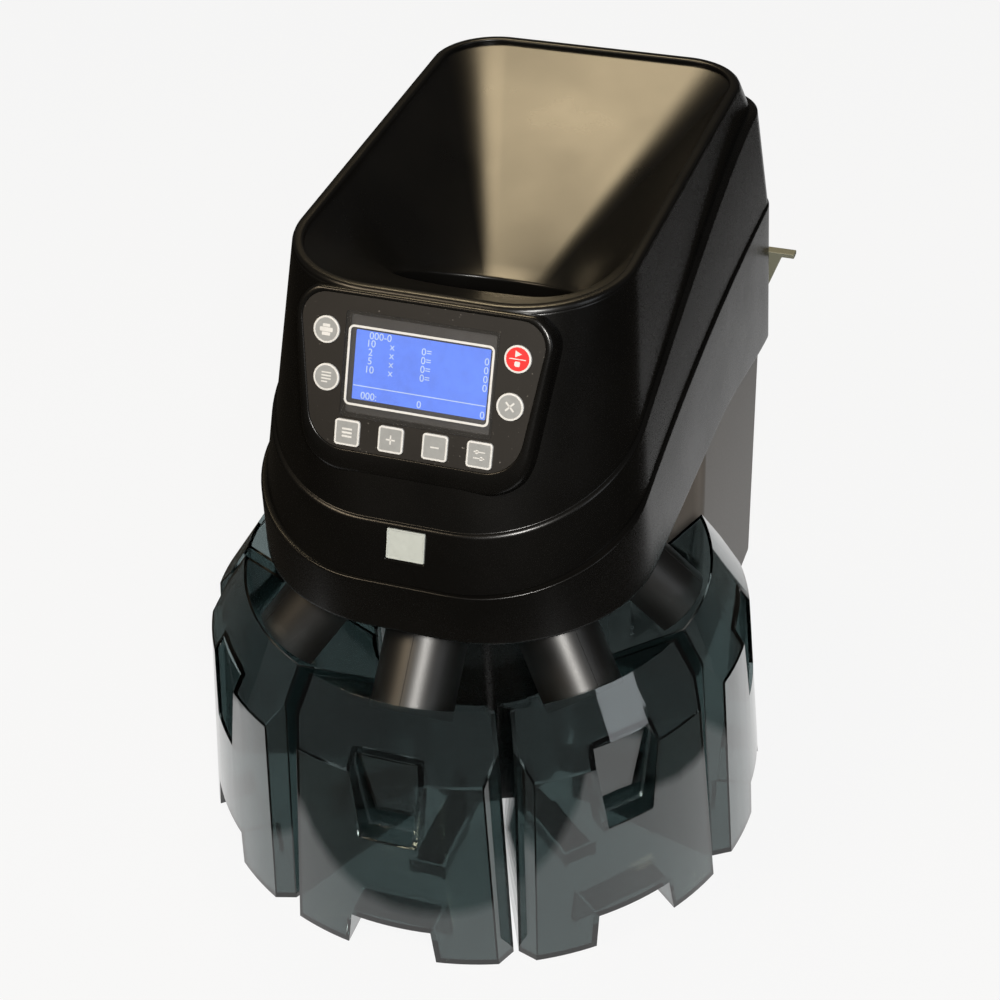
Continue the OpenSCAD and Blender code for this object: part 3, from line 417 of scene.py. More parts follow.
def settle(piece, matrix):
    """Puts a piece that was made at the origin in its place, and keeps the place in its mesh."""
    focus(piece)
    piece.matrix_world = matrix @ piece.matrix_world
    bpy.ops.object.transform_apply()
    return piece


def apply_modifier(piece, kind, **settings):
    focus(piece)
    modifier = piece.modifiers.new(kind.title(), kind)
    for key, value in settings.items():
        setattr(modifier, key, value)
    bpy.ops.object.modifier_apply(modifier=modifier.name)


def smooth(piece, angle=32.0):
    focus(piece)
    bpy.ops.object.shade_smooth_by_angle(angle=math.radians(angle))


def soften(piece, width, angle=EDGE_ANGLE):
    """Rounds the edges that turn by more than an angle."""
    apply_modifier(piece, "BEVEL", width=width, segments=sizes().edge_segments, limit_method="ANGLE",
        angle_limit=math.radians(angle), harden_normals=False, use_clamp_overlap=True,
        miter_outer="MITER_ARC")
    smooth(piece, SOFT_ANGLE)
    apply_modifier(piece, "WEIGHTED_NORMAL", keep_sharp=True)


def dress(piece, node, slot=None, finish=None, replaces=True):
    """Gives a piece a finish, if it has none, and its node's body; it takes that node's place if told to."""
    if not piece.data.materials:
        piece.data.materials.append(FINISHES[finish or slot or SLOT_OF[node]])
    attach(piece, BODY_OF[node])
    if replaces:
        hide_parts(node)


def copy_of(node, name, width=0.0, angle=EDGE_ANGLE):
    """A solid's own mesh with its flat faces joined, and with its edges rounded if a width is given."""
    mesh = NODES[node].data.copy()
    mesh.name = name
    piece = bpy.data.objects.new(name, mesh)
    bpy.context.scene.collection.objects.link(piece)
    focus(piece)
    mesh.materials.clear()
    bpy.ops.mesh.customdata_custom_splitnormals_clear()
    set_mode("EDIT")
    bpy.ops.mesh.select_all(action="SELECT")
    bpy.ops.mesh.remove_doubles(threshold=MERGE)
    bpy.ops.mesh.dissolve_limited(angle_limit=math.radians(SAME_FACE))
    bpy.ops.mesh.select_all(action="DESELECT")
    set_mode("OBJECT")
    if width:
        soften(piece, width, angle)
    return piece


def finish_mesh(merge=0.0):
    """Merges close points if wanted, turns the faces outwards and ends edit mode."""
    bpy.ops.mesh.select_all(action="SELECT")
    if merge:
        bpy.ops.mesh.remove_doubles(threshold=merge)
    bpy.ops.mesh.normals_make_consistent(inside=False)
    set_mode("OBJECT")


def loft(name, rings):
    """A circle drawn out ring by ring into a closed wall: each ring is extruded from the last."""
    piece = added(bpy.ops.mesh.primitive_circle_add, name, vertices=len(rings[0]), radius=1)
    set_mode("EDIT")
    bpy.ops.mesh.select_mode(type="VERT")
    mesh = bmesh.from_edit_mesh(piece.data)
    step = mesh.verts.layers.int.new("step")
    for i, v in enumerate(mesh.verts):
        v[step] = i
        v.co = rings[0][i]
    bpy.ops.mesh.select_all(action="SELECT")
    for outline in rings[1:] + rings[:1]:
        bpy.ops.mesh.extrude_region_move()
        mesh = bmesh.from_edit_mesh(piece.data)
        step = mesh.verts.layers.int["step"]
        for v in mesh.verts:
            if v.select:
                v.co = outline[v[step]]
        bmesh.update_edit_mesh(piece.data)
    finish_mesh(MERGE)
    piece.data.attributes.remove(piece.data.attributes["step"])
    return piece


def slab(name, points, z0, z1):
    """A flat outline in millimetres, filled and drawn up into a plate."""
    piece = added(bpy.ops.mesh.primitive_circle_add, name, vertices=len(points), radius=1, fill_type="NGON")
    for v, p in zip(piece.data.vertices, points):
        v.co = Vector((p[0], p[1], z0)) * MM
    set_mode("EDIT")
    bpy.ops.mesh.select_all(action="SELECT")
    bpy.ops.mesh.extrude_region_move(TRANSFORM_OT_translate={"value": (0, 0, (z1 - z0) * MM)})
    finish_mesh()
    return piece


def join(pieces, name):
    piece = focus(pieces[0])
    for other in pieces[1:]:
        other.select_set(True)
    if len(pieces) > 1:
        bpy.ops.object.join()
    piece.name = piece.data.name = name
    return piece


def carve(piece, cutters):
    """Cuts other pieces out of one, and removes them."""
    cutter = join(cutters, "cutter")
    apply_modifier(piece, "BOOLEAN", operation="DIFFERENCE", solver="EXACT", object=cutter, use_self=True)
    bpy.data.objects.remove(cutter)


def shift(x, y, z):
    """A move in millimetres."""
    return Matrix.Translation(Vector((x, y, z)) * MM)


def turned(angle, axis):
    """A turn in degrees."""
    return Matrix.Rotation(math.radians(angle), 4, axis)


def arc(x, y, r, start, turn, steps):
    """Points along an arc, angles in degrees, both ends among them."""
    angles = [math.radians(start + turn * i / steps) for i in range(steps + 1)]
    return [(x + r * math.cos(a), y + r * math.sin(a)) for a in angles]


def rounded_rect(w, h, r, steps=8):
    x, y = w / 2 - r, h / 2 - r
    corners = ((x, -y, -90), (x, y, 0), (-x, y, 90), (-x, -y, 180))
    return [p for cx, cy, start in corners for p in arc(cx, cy, r, start, 90, steps)]


def disc_points(r, steps=64):
    return arc(0, 0, r, 0, 360, steps)[:-1]


def moved(points, dx, dy):
    return [(x + dx, y + dy) for x, y in points]


# The head's outlines

def plan_steps():
    """Steps round an outline: kind of stretch, side, and angle or share along it."""
    def corner(kind, side, start):
        return [(kind, side, start + 90 * i / CORNER_STEPS) for i in range(CORNER_STEPS + 1)]

    def straight(kind, side, steps):
        return [(kind, side, i / steps) for i in range(1, steps)]

    right = corner("front", 1, -90) + straight("side", 1, SIDE_STEPS) + corner("rear", 1, 0)
    left = corner("rear", -1, 90) + straight("side", -1, SIDE_STEPS)[::-1] + corner("front", -1, 180)
    return right + straight("back", 0, END_STEPS) + left + straight("nose", 0, END_STEPS)


PLAN_STEPS = plan_steps()


def row_at(face, z, grow=0.0):
    a, b = face
    t = (z - a[0]) / (b[0] - a[0])
    row = [p + (q - p) * t for p, q in zip(a, b)]
    return [r + g * grow for r, g in zip(row, (0, 1, -1, 1, 1, 1, 0))]


def plan_point(step, row):
    """The point of a rounded outline that belongs to one step, in millimetres."""
    kind, side, t = step
    z, w, y0, rear, rf, rear_r, flare = row
    up = max(0.0, (z - REAR_BEND_Z) / (RIM_Z - REAR_BEND_Z)) ** REAR_POWER
    y1 = SKIRT_Y1 + (RIM_Y1 - SKIRT_Y1) * up + rear
    rb = SKIRT_REAR_R + (RIM_REAR_R - SKIRT_REAR_R) * up + rear_r
    if kind in ("front", "rear"):
        a = math.radians(t)
        r, middle = (rf, y0 + rf) if kind == "front" else (rb, y1 - rb)
        x, y = side * (w - r) + r * math.cos(a), middle + r * math.sin(a)
    elif kind == "side":
        x, y = side * w, y0 + rf + t * (y1 - rb - y0 - rf)
    elif kind == "back":
        x, y = (w - rb) * (1 - 2 * t), y1
    else:
        x, y = (rf - w) * (1 - 2 * t), y0
    return x * (1 + flare * (y - y0) / (y1 - y0)), y


def ring(face, grow, height):
    """An outline on a face whose height follows the depth."""
    points = []
    for step in PLAN_STEPS:
        z = height(0.0)
        for _ in range(HEIGHT_ROUNDS):
            z = height(plan_point(step, row_at(face, z))[1])
        x, y = plan_point(step, row_at(face, z, grow))
        points.append(Vector((x, y, z)) * MM)
    return points


def level(z):
    return lambda y: z


def share(y, y0, y1):
    return max(0.0, min(1.0, (y - y0) / (y1 - y0)))


def rising(z, rise, bend, y0, y1):
    """A height that rises from front to rear, more and more slowly."""
    return lambda y: z + rise * (1 - (1 - share(y, y0, y1)) ** bend)


def skirt_height(y):
    t = share(y, DROP_START, SKIRT_Y1)
    return SKIRT_Z - SKIRT_DROP * t * t * (3 - 2 * t)


def shared_edge(face, height):
    """The height of an edge at a depth, read from the face that draws it, for both faces that share it."""
    rough_row = row_at(face, height(0.0))
    heights = [height(plan_point(step, rough_row)[1]) for step in PLAN_STEPS]
    line = sorted((plan_point(step, row_at(face, z))[1], z) for step, z in zip(PLAN_STEPS, heights))

    def height_at(y):
        k = bisect.bisect(line, (y,))
        (y0, z0), (y1, z1) = line[max(0, k - 1)], line[min(k, len(line) - 1)]
        return z0 + (z1 - z0) * share(y, y0, y1) if y1 > y0 else z0

    return height_at


CREASE = shared_edge(UPPER_FACE, rising(CREASE_Z, CREASE_RISE, CREASE_POWER, CREASE_Y0, RIM_Y1))
SEAM = shared_edge(BAND_FACE, rising(SEAM_Z, SEAM_RISE, SEAM_POWER, SEAM_Y0, SKIRT_Y1))


def between(a, b, steps):
    return [[p.lerp(q, k / steps) for p, q in zip(a, b)] for k in range(1, steps)]


def raised(height, dz):
    return lambda y: height(y) + dz


def edge_rings(face, height, section):
    """Outlines along an edge, whose section gives distances in from the face and heights above the edge."""
    return [ring(face, -d, raised(height, rise)) for d, rise in section]


def panel_matrix():
    return shift(0, PANEL_Y, PANEL_Z) @ turned(90 - PANEL_LEAN, "X")


def badge_matrix():
    y = row_at(BAND_FACE, BADGE_Z)[2]
    lean = math.atan2(BAND_ROW[2] - SEAM_ROW[2], BAND_ROW[0] - SEAM_ROW[0])
    return shift(0, y, BADGE_Z) @ Matrix.Rotation(math.pi / 2 - lean, 4, "X")


def panel_outline(grow, steps=14):
    """The overlay's outline, grown all round, with its four rounded corners."""
    x1, x0 = OVERLAY_TOP + grow, OVERLAY_BOTTOM + grow
    y1, y0 = OVERLAY_UP + grow, -OVERLAY_DOWN - grow
    corners = [Vector(corner) for corner in ((-x0, y0), (x0, y0), (x1, y1), (-x1, y1))]
    radii = [r + grow for r in (OVERLAY_BOTTOM_R, OVERLAY_BOTTOM_R, OVERLAY_TOP_R, OVERLAY_TOP_R)]
    points = []
    for i, (p, r) in enumerate(zip(corners, radii)):
        u, v = (corners[i - 1] - p).normalized(), (corners[(i + 1) % 4] - p).normalized()
        half = math.acos(u.dot(v)) / 2
        centre = p + (u + v).normalized() * (r / math.sin(half))
        start = p + u * (r / math.tan(half)) - centre
        a0, turn = math.degrees(math.atan2(start.y, start.x)), 180 - 2 * math.degrees(half)
        points += arc(centre.x, centre.y, r, a0, turn, steps)
    return points


# Pieces

class Step:
    """What the steps of the build share: each builds one piece or one group of pieces."""

    def execute(self, context):
        self.build()
        return {"FINISHED"}


class SORTER_OT_upper_housing(Step, bpy.types.Operator):
    """Draw the head above the seam: the leaning face, the soft crease and the proud band"""

    bl_idname = "sorter.upper_housing"
    bl_label = "Upper housing"

    # Sections of the upper and the lower edge
    top_section = ((0.5, 0.0), (0.0, -0.5), (0.0, -1.2))
    seam_section = ((0.0, 1.0), (0.0, 0.4), (0.12, 0.12), (0.4, 0.0))
    # The crease's section: share of the step from face to band, and height above the crease
    crease_section = ((0.0, 0.35), (0.03, 0.1), (0.16, -0.02), (0.36, -0.12), (0.55, -0.27), (0.7, -0.46),
                      (0.82, -0.69), (0.91, -0.95), (0.97, -1.25), (1.0, -1.6))
    # Where the faces start beside the crease, and their rows
    hold, face_steps, band_steps = 2.4, 10, 6
    # Openings in the panel: depth below the bezel's foot, height, corner radii of window and keys
    cut_depth, cut_height, window_r, key_r = 6.0, 4.0, 1.0, 1.8
    # Badge pocket: corner radius, height of the cut, chamfer of its mouth
    pocket_r, pocket_height, mouth = 0.8, 2.0, 0.35

    def crease_rings(self):
        rings = []
        for s, rise in self.crease_section:
            upper, band = (ring(face, 0.0, raised(CREASE, rise)) for face in (UPPER_FACE, BAND_FACE))
            rings.append([p.lerp(q, s) for p, q in zip(upper, band)])
        return rings

    def build(self):
        rings = edge_rings(UPPER_FACE, level(LIP_Z0), self.top_section)
        above = ring(UPPER_FACE, 0.0, raised(CREASE, self.hold))
        below = ring(BAND_FACE, 0.0, raised(CREASE, -self.hold))
        edge = edge_rings(BAND_FACE, SEAM, self.seam_section)
        rings += between(rings[-1], above, self.face_steps) + [above] + self.crease_rings()
        rings += [below] + between(below, edge[0], self.band_steps) + edge
        under = raised(CREASE, -SHELL_T)
        inner = (BAND_FACE, SEAM), (BAND_FACE, under), (UPPER_FACE, under), (UPPER_FACE, level(LIP_Z0))
        rings += [ring(face, -SHELL_T, height) for face, height in inner]
        piece = loft("upper_shell", rings)
        carve(piece, self.cutters())
        smooth(piece, SHELL_ANGLE)
        apply_modifier(piece, "WEIGHTED_NORMAL", keep_sharp=True)
        dress(piece, "upper_housing")

    def cutters(self):
        """Room for the window, the keys and the badge."""
        w, h = WINDOW_W - 2 * LEDGE_W, WINDOW_H - 2 * LEDGE_W
        plans = [moved(rounded_rect(w, h, self.window_r), 0, WINDOW_V)]
        plans += [moved(disc_points(ROUND_KEY_D / 2 + KEY_GAP), x, y) for x, y in ROUND_KEYS]
        side = SQUARE_KEY_W + 2 * KEY_GAP
        plans += [moved(rounded_rect(side, side, self.key_r), x, y) for x, y in SQUARE_KEYS]
        foot = PLATEAU_W0 - self.cut_depth
        made = [settle(slab("opening", plan, foot, self.cut_height), panel_matrix()) for plan in plans]
        plan = rounded_rect(BADGE_W + 2 * BADGE_GAP, BADGE_H + 2 * BADGE_GAP, self.pocket_r)
        pocket = slab("pocket", plan, -BADGE_T - BADGE_SINK, self.pocket_height)
        mouth = slab("mouth", plan, -self.mouth, self.pocket_height)
        for v in mouth.data.vertices:
            if v.co.z > 0:
                outward = Vector((math.copysign(1, v.co.x), math.copysign(1, v.co.y), 0))
                v.co += outward * (self.pocket_height + self.mouth) * MM
        return made + [settle(cut, badge_matrix()) for cut in (pocket, mouth)]


class SORTER_OT_lower_housing(Step, bpy.types.Operator):
    """Draw the skirt below the seam, with its tongue and the deck that closes the head below"""

    bl_idname = "sorter.lower_housing"
    bl_label = "Lower housing"

    # Sections of the upper and the lower edge
    top_section = ((1.1, 0.0), (0.82, -0.04), (0.58, -0.12), (0.37, -0.24), (0.2, -0.4), (0.08, -0.6),
                   (0.02, -0.84), (0.0, -1.1), (0.0, -2.0))
    low_section = ((0.0, 1.8), (0.0, 0.8), (0.25, 0.2), (0.8, 0.0), (SHELL_T, 0.0))
    # Rows of the wall, gap at the seam, top of the inner wall below the seam
    wall_steps, top_gap, inner_drop = 5, 0.3, 7.0
    # Section of the tongue inside the band, and where its outer side meets the upper edge
    tongue_section, tongue_out = ((4.9, -3.0), (5.6, 4.0), (4.0, 4.0)), 3.3
    hole_margin, boss_edge = 2.0, 0.5

    def build(self):
        top = raised(SEAM, -self.top_gap)
        upper = edge_rings(SKIRT_FACE, top, self.top_section)
        lower = edge_rings(SKIRT_FACE, skirt_height, self.low_section)
        rings = [ring(BAND_FACE, -self.tongue_out, top)] + upper
        rings += between(upper[-1], lower[0], self.wall_steps) + lower
        rings.append(ring(SKIRT_FACE, -SHELL_T, raised(SEAM, -self.inner_drop)))
        rings += edge_rings(BAND_FACE, SEAM, self.tongue_section)
        skirt = loft("skirt", rings)
        deck_row = row_at(SKIRT_FACE, SKIRT_Z, -SHELL_T / 2)
        deck = slab("deck", [plan_point(s, deck_row) for s in PLAN_STEPS], SKIRT_Z, SKIRT_Z + DECK_T)
        holes, low, high = [], SKIRT_Z - self.hole_margin, SKIRT_Z + DECK_T + self.hole_margin
        for a in map(math.radians, STATIONS):
            plan = moved(disc_points(DROP_HOLE_R), DROP_PLACE_R * math.sin(a), -DROP_PLACE_R * math.cos(a))
            holes.append(slab("hole", plan, low, high))
        carve(deck, holes)
        boss = slab("boss", disc_points(BEARING_BOSS_R), BEARING_Z0, BEARING_Z1)
        soften(boss, self.boss_edge * MM)
        piece = join([skirt, deck, boss], "lower_shell")
        smooth(piece, SHELL_ANGLE)
        dress(piece, "lower_housing")


class SORTER_OT_hopper(Step, bpy.types.Operator):
    """Draw the hopper: rolled lip, wide bowl, throat and well"""

    bl_idname = "sorter.hopper"
    bl_label = "Hopper"

    # Rows of the bowl and the well, and the gap between the throat's edge and the underside
    bowl_steps, well_steps, under_drop = 18, 4, 1.0
    # The lip's section
    lip_section = ((0.0, -LIP_T), (0.0, -1.6), (0.25, -0.75), (0.85, -0.2), (1.7, 0.0), (3.9, 0.0),
                   (4.9, -0.22), (5.6, -0.75), (6.1, -1.6), (LIP_W, -3.0))
    # The throat's rounded edge: growth of its outline, and height above the edge
    throat_section = ((1.8, 0.7), (0.7, -0.1), (0.15, -0.9), (0.0, -2.2))

    def throat(self, grow, height):
        points = []
        row = row_at(UPPER_FACE, LIP_Z0, -LIP_W)
        for step in PLAN_STEPS:
            x, y = plan_point(step, row)
            a = math.atan2((y - THROAT_Y) / THROAT_HALF_L, x / THROAT_HALF_W)
            x, y = (THROAT_HALF_W + grow) * math.cos(a), THROAT_Y + (THROAT_HALF_L + grow) * math.sin(a)
            points.append(Vector((x, y, height(y))) * MM)
        return points

    def build(self):
        def edge(y):
            return THROAT_Z - THROAT_FALL * (y - THROAT_Y + THROAT_HALF_L)

        rings = edge_rings(UPPER_FACE, level(RIM_Z), self.lip_section)
        rounded = [self.throat(grow, raised(edge, rise)) for grow, rise in self.throat_section]
        rings += between(rings[-1], rounded[0], self.bowl_steps) + rounded
        well_low = self.throat(0.0, level(WELL_Z0))
        rings += between(rounded[-1], well_low, self.well_steps) + [well_low]
        rings += [self.throat(HOPPER_T, level(WELL_Z0)),
                  self.throat(HOPPER_T, raised(edge, -HOPPER_T - self.under_drop))]
        under = ring(UPPER_FACE, HOPPER_T - LIP_W, level(LIP_Z0))
        rings += between(rings[-1], under, self.bowl_steps // 2) + [under]
        piece = loft("hopper_shell", rings)
        smooth(piece, ROLLED_ANGLE)
        dress(piece, "hopper_bowl", finish="hopper")


class SORTER_OT_panel(Step, bpy.types.Operator):
    """Draw the bezel round the key panel and finish the overlay, its window and the frame line"""

    bl_idname = "sorter.panel"
    bl_label = "Key panel"

    # The bezel's section: growth of the overlay's outline, and height above the overlay
    section = ((5.4, PLATEAU_W0), (5.0, -7.0), (4.7, -3.6), (4.4, -1.9), (4.0, -0.8), (3.5, -0.15),
               (2.9, 0.2), (2.2, 0.4), (1.4, 0.46), (0.7, 0.42), (0.3, 0.3), (0.1, 0.05), (0.05, -0.4),
               (0.05, -2.5), (0.4, -4.0))
    # Width of the upper edge, and the growth at which it has that width
    top_w, full_grow = 3.0, 4.4
    # The long foot below: its start and length, the growth at which it starts, and its stretch
    foot_start, foot_length, foot_grow, foot_stretch = 8.0, 30.0, 1.4, 2.4
    # Pieces that keep their solid's shape: node, name, rounding and finish
    sheets = (("panel_overlay", "overlay_sheet", 0.2, "overlay"), ("lcd_frame", "display_line", 0.1, None),
              ("lcd_window", "display_window", 0.3, None))

    def bezel_point(self, x, y, grow, w):
        """Ends the bezel in a round edge at the rim above, and runs it out slowly into the face below."""
        low = share(-y, self.foot_start, self.foot_start + self.foot_length)
        top = OVERLAY_UP + min(grow, self.top_w * min(1.0, grow / self.full_grow))
        drop = low * self.foot_stretch * max(0.0, grow - self.foot_grow)
        return Vector((x, min(y, top) - drop, w)) * MM

    def build(self):
        rings = [[self.bezel_point(x, y, g, w) for x, y in panel_outline(g)] for g, w in self.section]
        bezel = loft("panel_bezel", rings)
        settle(bezel, panel_matrix())
        smooth(bezel, ROLLED_ANGLE)
        dress(bezel, "upper_housing", replaces=False)
        for node, name, edge, finish in self.sheets:
            dress(copy_of(node, name, edge * MM, FLAT_ANGLE), node, finish=finish)


class SORTER_OT_display(Step, bpy.types.Operator):
    """Set plain rows of figures and a rule on the lit display"""

    bl_idname = "sorter.display"
    bl_label = "Display figures"

    # Figures: height, size of their font, half their thickness, lift above the screen
    height, font_share, half_t, lift = 3.4, 1.52, 0.02, 0.04
    # First figure of each row and the row's height, then what every row repeats and its place across
    rows = (("10", 11.6), ("2", 7.15), ("5", 2.7), ("10", -1.75))
    columns = (("x", -15.9), ("0=", 2.4), ("0", 34.0))
    # Figures of the line above and the line below: text, place across, height
    others = (("000-0", -22.5, 15.6), ("000:", -26.5, -15.4), ("0", 0.5, -15.4), ("0", 34.0, -15.4))
    # Place across of the first figures, then the rule's height, width and margin
    first, rule_v, rule_w, rule_margin = -27.3, -10.9, 0.45, 0.3

    def figure(self, text, u, v):
        piece = added(bpy.ops.object.text_add, "figure")
        piece.data.body = text
        piece.data.size = self.height * self.font_share * MM
        piece.data.extrude = self.half_t * MM
        piece.data.align_x = "CENTER"
        bpy.ops.object.convert(target="MESH")
        place = shift(u, v - self.height / 2 + SCREEN_V, SCREEN_FACE + self.lift)
        return settle(bpy.context.object, place)

    def rule(self):
        half, y0, y1 = SCREEN_W / 2 - self.rule_margin, self.rule_v, self.rule_v + self.rule_w
        middle = SCREEN_FACE + self.lift
        return slab("rule", [(-half, y0), (half, y0), (half, y1), (-half, y1)], middle - self.half_t,
                    middle + self.half_t)

    def build(self):
        made = []
        for text, v in self.rows:
            made.append(self.figure(text, self.first, v))
            made += [self.figure(repeated, u, v) for repeated, u in self.columns]
        made += [self.figure(text, u, v) for text, u, v in self.others]
        piece = focus(join(made + [self.rule()], "display_figures"))
        set_mode("EDIT")
        finish_mesh(MERGE / 2)
        settle(piece, panel_matrix())
        dress(piece, "lcd_screen", finish="display_ink", replaces=False)


class SORTER_OT_keys(Step, bpy.types.Operator):
    """Round the key caps, sink their faces inside a pale border and set a plain sign on each"""

    bl_idname = "sorter.keys"
    bl_label = "Keys"

    # How far the face lies below the border, width of the slope between, half thickness of a sign
    sink, slope, print_t = 0.14, 0.12, 0.05
    # Rounding of a sign's bars: share of their width, and steps
    bar_round, bar_steps = 0.25, 3
    # Bars of each key's sign, in the order of their places: across, up, width, height and turn, if any
    signs = {
        "key_round_1": ((0, 2.1, 4.0, 1.5), (0, 0.0, 7.0, 2.2), (0, -2.2, 4.6, 1.7)),
        "key_round_2": ((0, 2.4, 5.2, 0.7), (0, 0.8, 5.2, 0.7), (0, -0.8, 5.2, 0.7), (-0.9, -2.4, 3.4, 0.7)),
        "key_round_3": ((0, 0, 8.6, 0.45), (0, -2.4, 2.8, 2.6)),
        "key_round_4": ((0, 0, 6.2, 0.9, 45), (0, 0, 6.2, 0.9, -45)),
        "key_square_1": ((0, 1.9, 5.4, 1.0), (0, 0, 5.4, 1.0), (0, -1.9, 5.4, 1.0)),
        "key_square_2": ((0, 0, 4.8, 0.75), (0, 0, 0.75, 4.8)),
        "key_square_3": ((0, 0, 4.6, 0.75),),
        "key_square_4": ((0, 1.6, 6, 0.6), (-1.3, 1.6, 1.5, 2), (0, -1.6, 6, 0.6), (1.3, -1.6, 1.5, 2)),
    }
    # The wedge above the bar of the red key's sign
    wedge = ((-1.4, 0.9), (2.0, 2.6), (-1.4, 4.3))
    # How far the normal of a key's top runs along the panel's, at least
    upright = 0.99

    def cap(self, node, red):
        piece = copy_of(node, node + "_cap")
        for finish in ("light_grey_plastic", "red_plastic" if red else "key_face"):
            piece.data.materials.append(FINISHES[finish])
        normal = panel_matrix().to_3x3() @ Vector((0, 0, 1))
        set_mode("EDIT")
        bpy.ops.mesh.select_mode(type="FACE")
        mesh = bmesh.from_edit_mesh(piece.data)
        tops = [f for f in mesh.faces if f.normal.dot(normal) > self.upright]
        max(tops, key=lambda f: f.calc_center_median().dot(normal)).select_set(True)
        bmesh.update_edit_mesh(piece.data)
        bpy.ops.mesh.inset(thickness=sizes().key_border, depth=0)
        bpy.ops.mesh.inset(thickness=self.slope * MM, depth=-self.sink * MM)
        piece.active_material_index = 1
        bpy.ops.object.material_slot_assign()
        set_mode("OBJECT")
        soften(piece, sizes().key_edge, FLAT_ANGLE)
        dress(piece, node)

    def sign(self, node, place, red):
        z0, z1 = (KEY_FACE - self.sink + dz for dz in (-self.print_t, self.print_t))
        made = []
        for x, y, w, h, *turn in self.signs[node]:
            plan = rounded_rect(w, h, min(w, h) * self.bar_round, self.bar_steps)
            made.append(settle(slab("bar", plan, z0, z1), shift(x, y, 0) @ turned(sum(turn), "Z")))
        if red:
            made.append(slab("wedge", self.wedge, z0, z1))
        piece = settle(join(made, node + "_sign"), panel_matrix() @ shift(*place, 0))
        dress(piece, node, slot="light_grey_plastic", replaces=False)

    def build(self):
        for node, place in zip(self.signs, ROUND_KEYS + SQUARE_KEYS):
            red = SLOT_OF[node] == "red_plastic"
            self.cap(node, red)
            self.sign(node, place, red)


class SORTER_OT_badge(Step, bpy.types.Operator):
    """Draw the bare badge plate with its fine raised border"""

    bl_idname = "sorter.badge"
    bl_label = "Badge plate"

    # Face below the border, its edge in from the plate's side, its corner radius
    face_drop, face_in, face_r = 0.35, 0.95, 0.2
    # The border's section: distance in from the plate's side, and height above its top
    border = ((0.0, -BADGE_T), (0.0, -0.2), (0.06, -0.06), (0.2, 0.0), (0.65, 0.0), (0.8, -0.06),
              (1.0, -face_drop), (1.0, -BADGE_T))
    # Corner radius of the plate, and how much of the distance in it loses
    corner_r, corner_fall = 0.6, 0.4

    def build(self):
        rings = []
        for d, z in self.border:
            plan = rounded_rect(BADGE_W - 2 * d, BADGE_H - 2 * d, self.corner_r - self.corner_fall * d)
            rings.append([Vector((x, y, z - BADGE_SINK)) * MM for x, y in plan])
        rim = loft("badge_rim", rings)
        plan = rounded_rect(BADGE_W - 2 * self.face_in, BADGE_H - 2 * self.face_in, self.face_r)
        face = slab("badge_floor", plan, -BADGE_T - BADGE_SINK, -self.face_drop - BADGE_SINK)
        piece = join([rim, face], "badge_face")
        settle(piece, badge_matrix())
        smooth(piece)
        dress(piece, "badge_plate", finish="badge")


class SORTER_OT_chutes(Step, bpy.types.Operator):
    """Round the chute mouths and run a fine mould line along each hood"""

    bl_idname = "sorter.chutes"
    bl_label = "Chutes"

    edge_angle = 40.0
    # Mould line: width, height, foot inside the hood, start and end along the hood
    line_w, line_t, line_foot, line_start, line_end = 0.7, 0.3, 0.3, 1.0, 54.0

    def build(self):
        along = shift(0, -CHUTE_END_R, CHUTE_END_Z) @ turned(CHUTE_SLOPE - 90, "X")
        half, foot, ridge = self.line_w / 2, self.line_foot - CHUTE_R, -self.line_t - CHUTE_R
        plan = [(-half, foot), (-half / 2, ridge), (half / 2, ridge), (half, foot)]
        for k, turn in enumerate(STATIONS):
            node = "chute_%d" % (k + 1)
            hood = copy_of(node, node + "_hood", sizes().chute_edge, self.edge_angle)
            line = settle(slab("line", plan, self.line_start, self.line_end), turned(turn, "Z") @ along)
            piece = join([hood, line], node + "_hood")
            dress(piece, node, finish="chute")


class SORTER_OT_coin_boxes(Step, bpy.types.Operator):
    """Round every edge of the see-through coin boxes"""

    bl_idname = "sorter.coin_boxes"
    bl_label = "Coin boxes"

    edge_angle = 24.0

    def build(self):
        for k in range(len(STATIONS)):
            node = "coin_box_%d" % (k + 1)
            dress(copy_of(node, node + "_clear", sizes().box_edge, self.edge_angle), node)


class SORTER_OT_column(Step, bpy.types.Operator):
    """Round the edges of the column, the neck, the hook and the service side"""

    bl_idname = "sorter.column"
    bl_label = "Column and service side"

    nodes = ("rear_column", "front_neck", "rear_hook", "column_cover", "switch_frame", "power_switch")
    small_nodes, small_share = ("power_inlet", "data_port", "cover_screws"), 0.5

    def build(self):
        for node in self.nodes + self.small_nodes:
            width = sizes().panel_edge * (self.small_share if node in self.small_nodes else 1.0)
            dress(copy_of(node, node + "_shape", width), node)


class SORTER_OT_base(Step, bpy.types.Operator):
    """Round the edges of the base, its runners and its rubber feet"""

    bl_idname = "sorter.base"
    bl_label = "Base"

    nodes = ("base_hub", "box_runners", "rubber_feet")
    # How far the runners stay below the boxes
    clear = 0.1

    def build(self):
        for node in self.nodes:
            piece = copy_of(node, node + "_shape", sizes().panel_edge)
            if node == "box_runners":
                settle(piece, shift(0, 0, -self.clear))
            dress(piece, node)


class SORTER_OT_inside(Step, bpy.types.Operator):
    """Give the parts inside the head and the column their finishes"""

    bl_idname = "sorter.inside"
    bl_label = "Inside parts"

    def build(self):
        for node, solid in NODES.items():
            solid.data.materials.clear()
            solid.data.materials.append(FINISHES[SLOT_OF[node]])


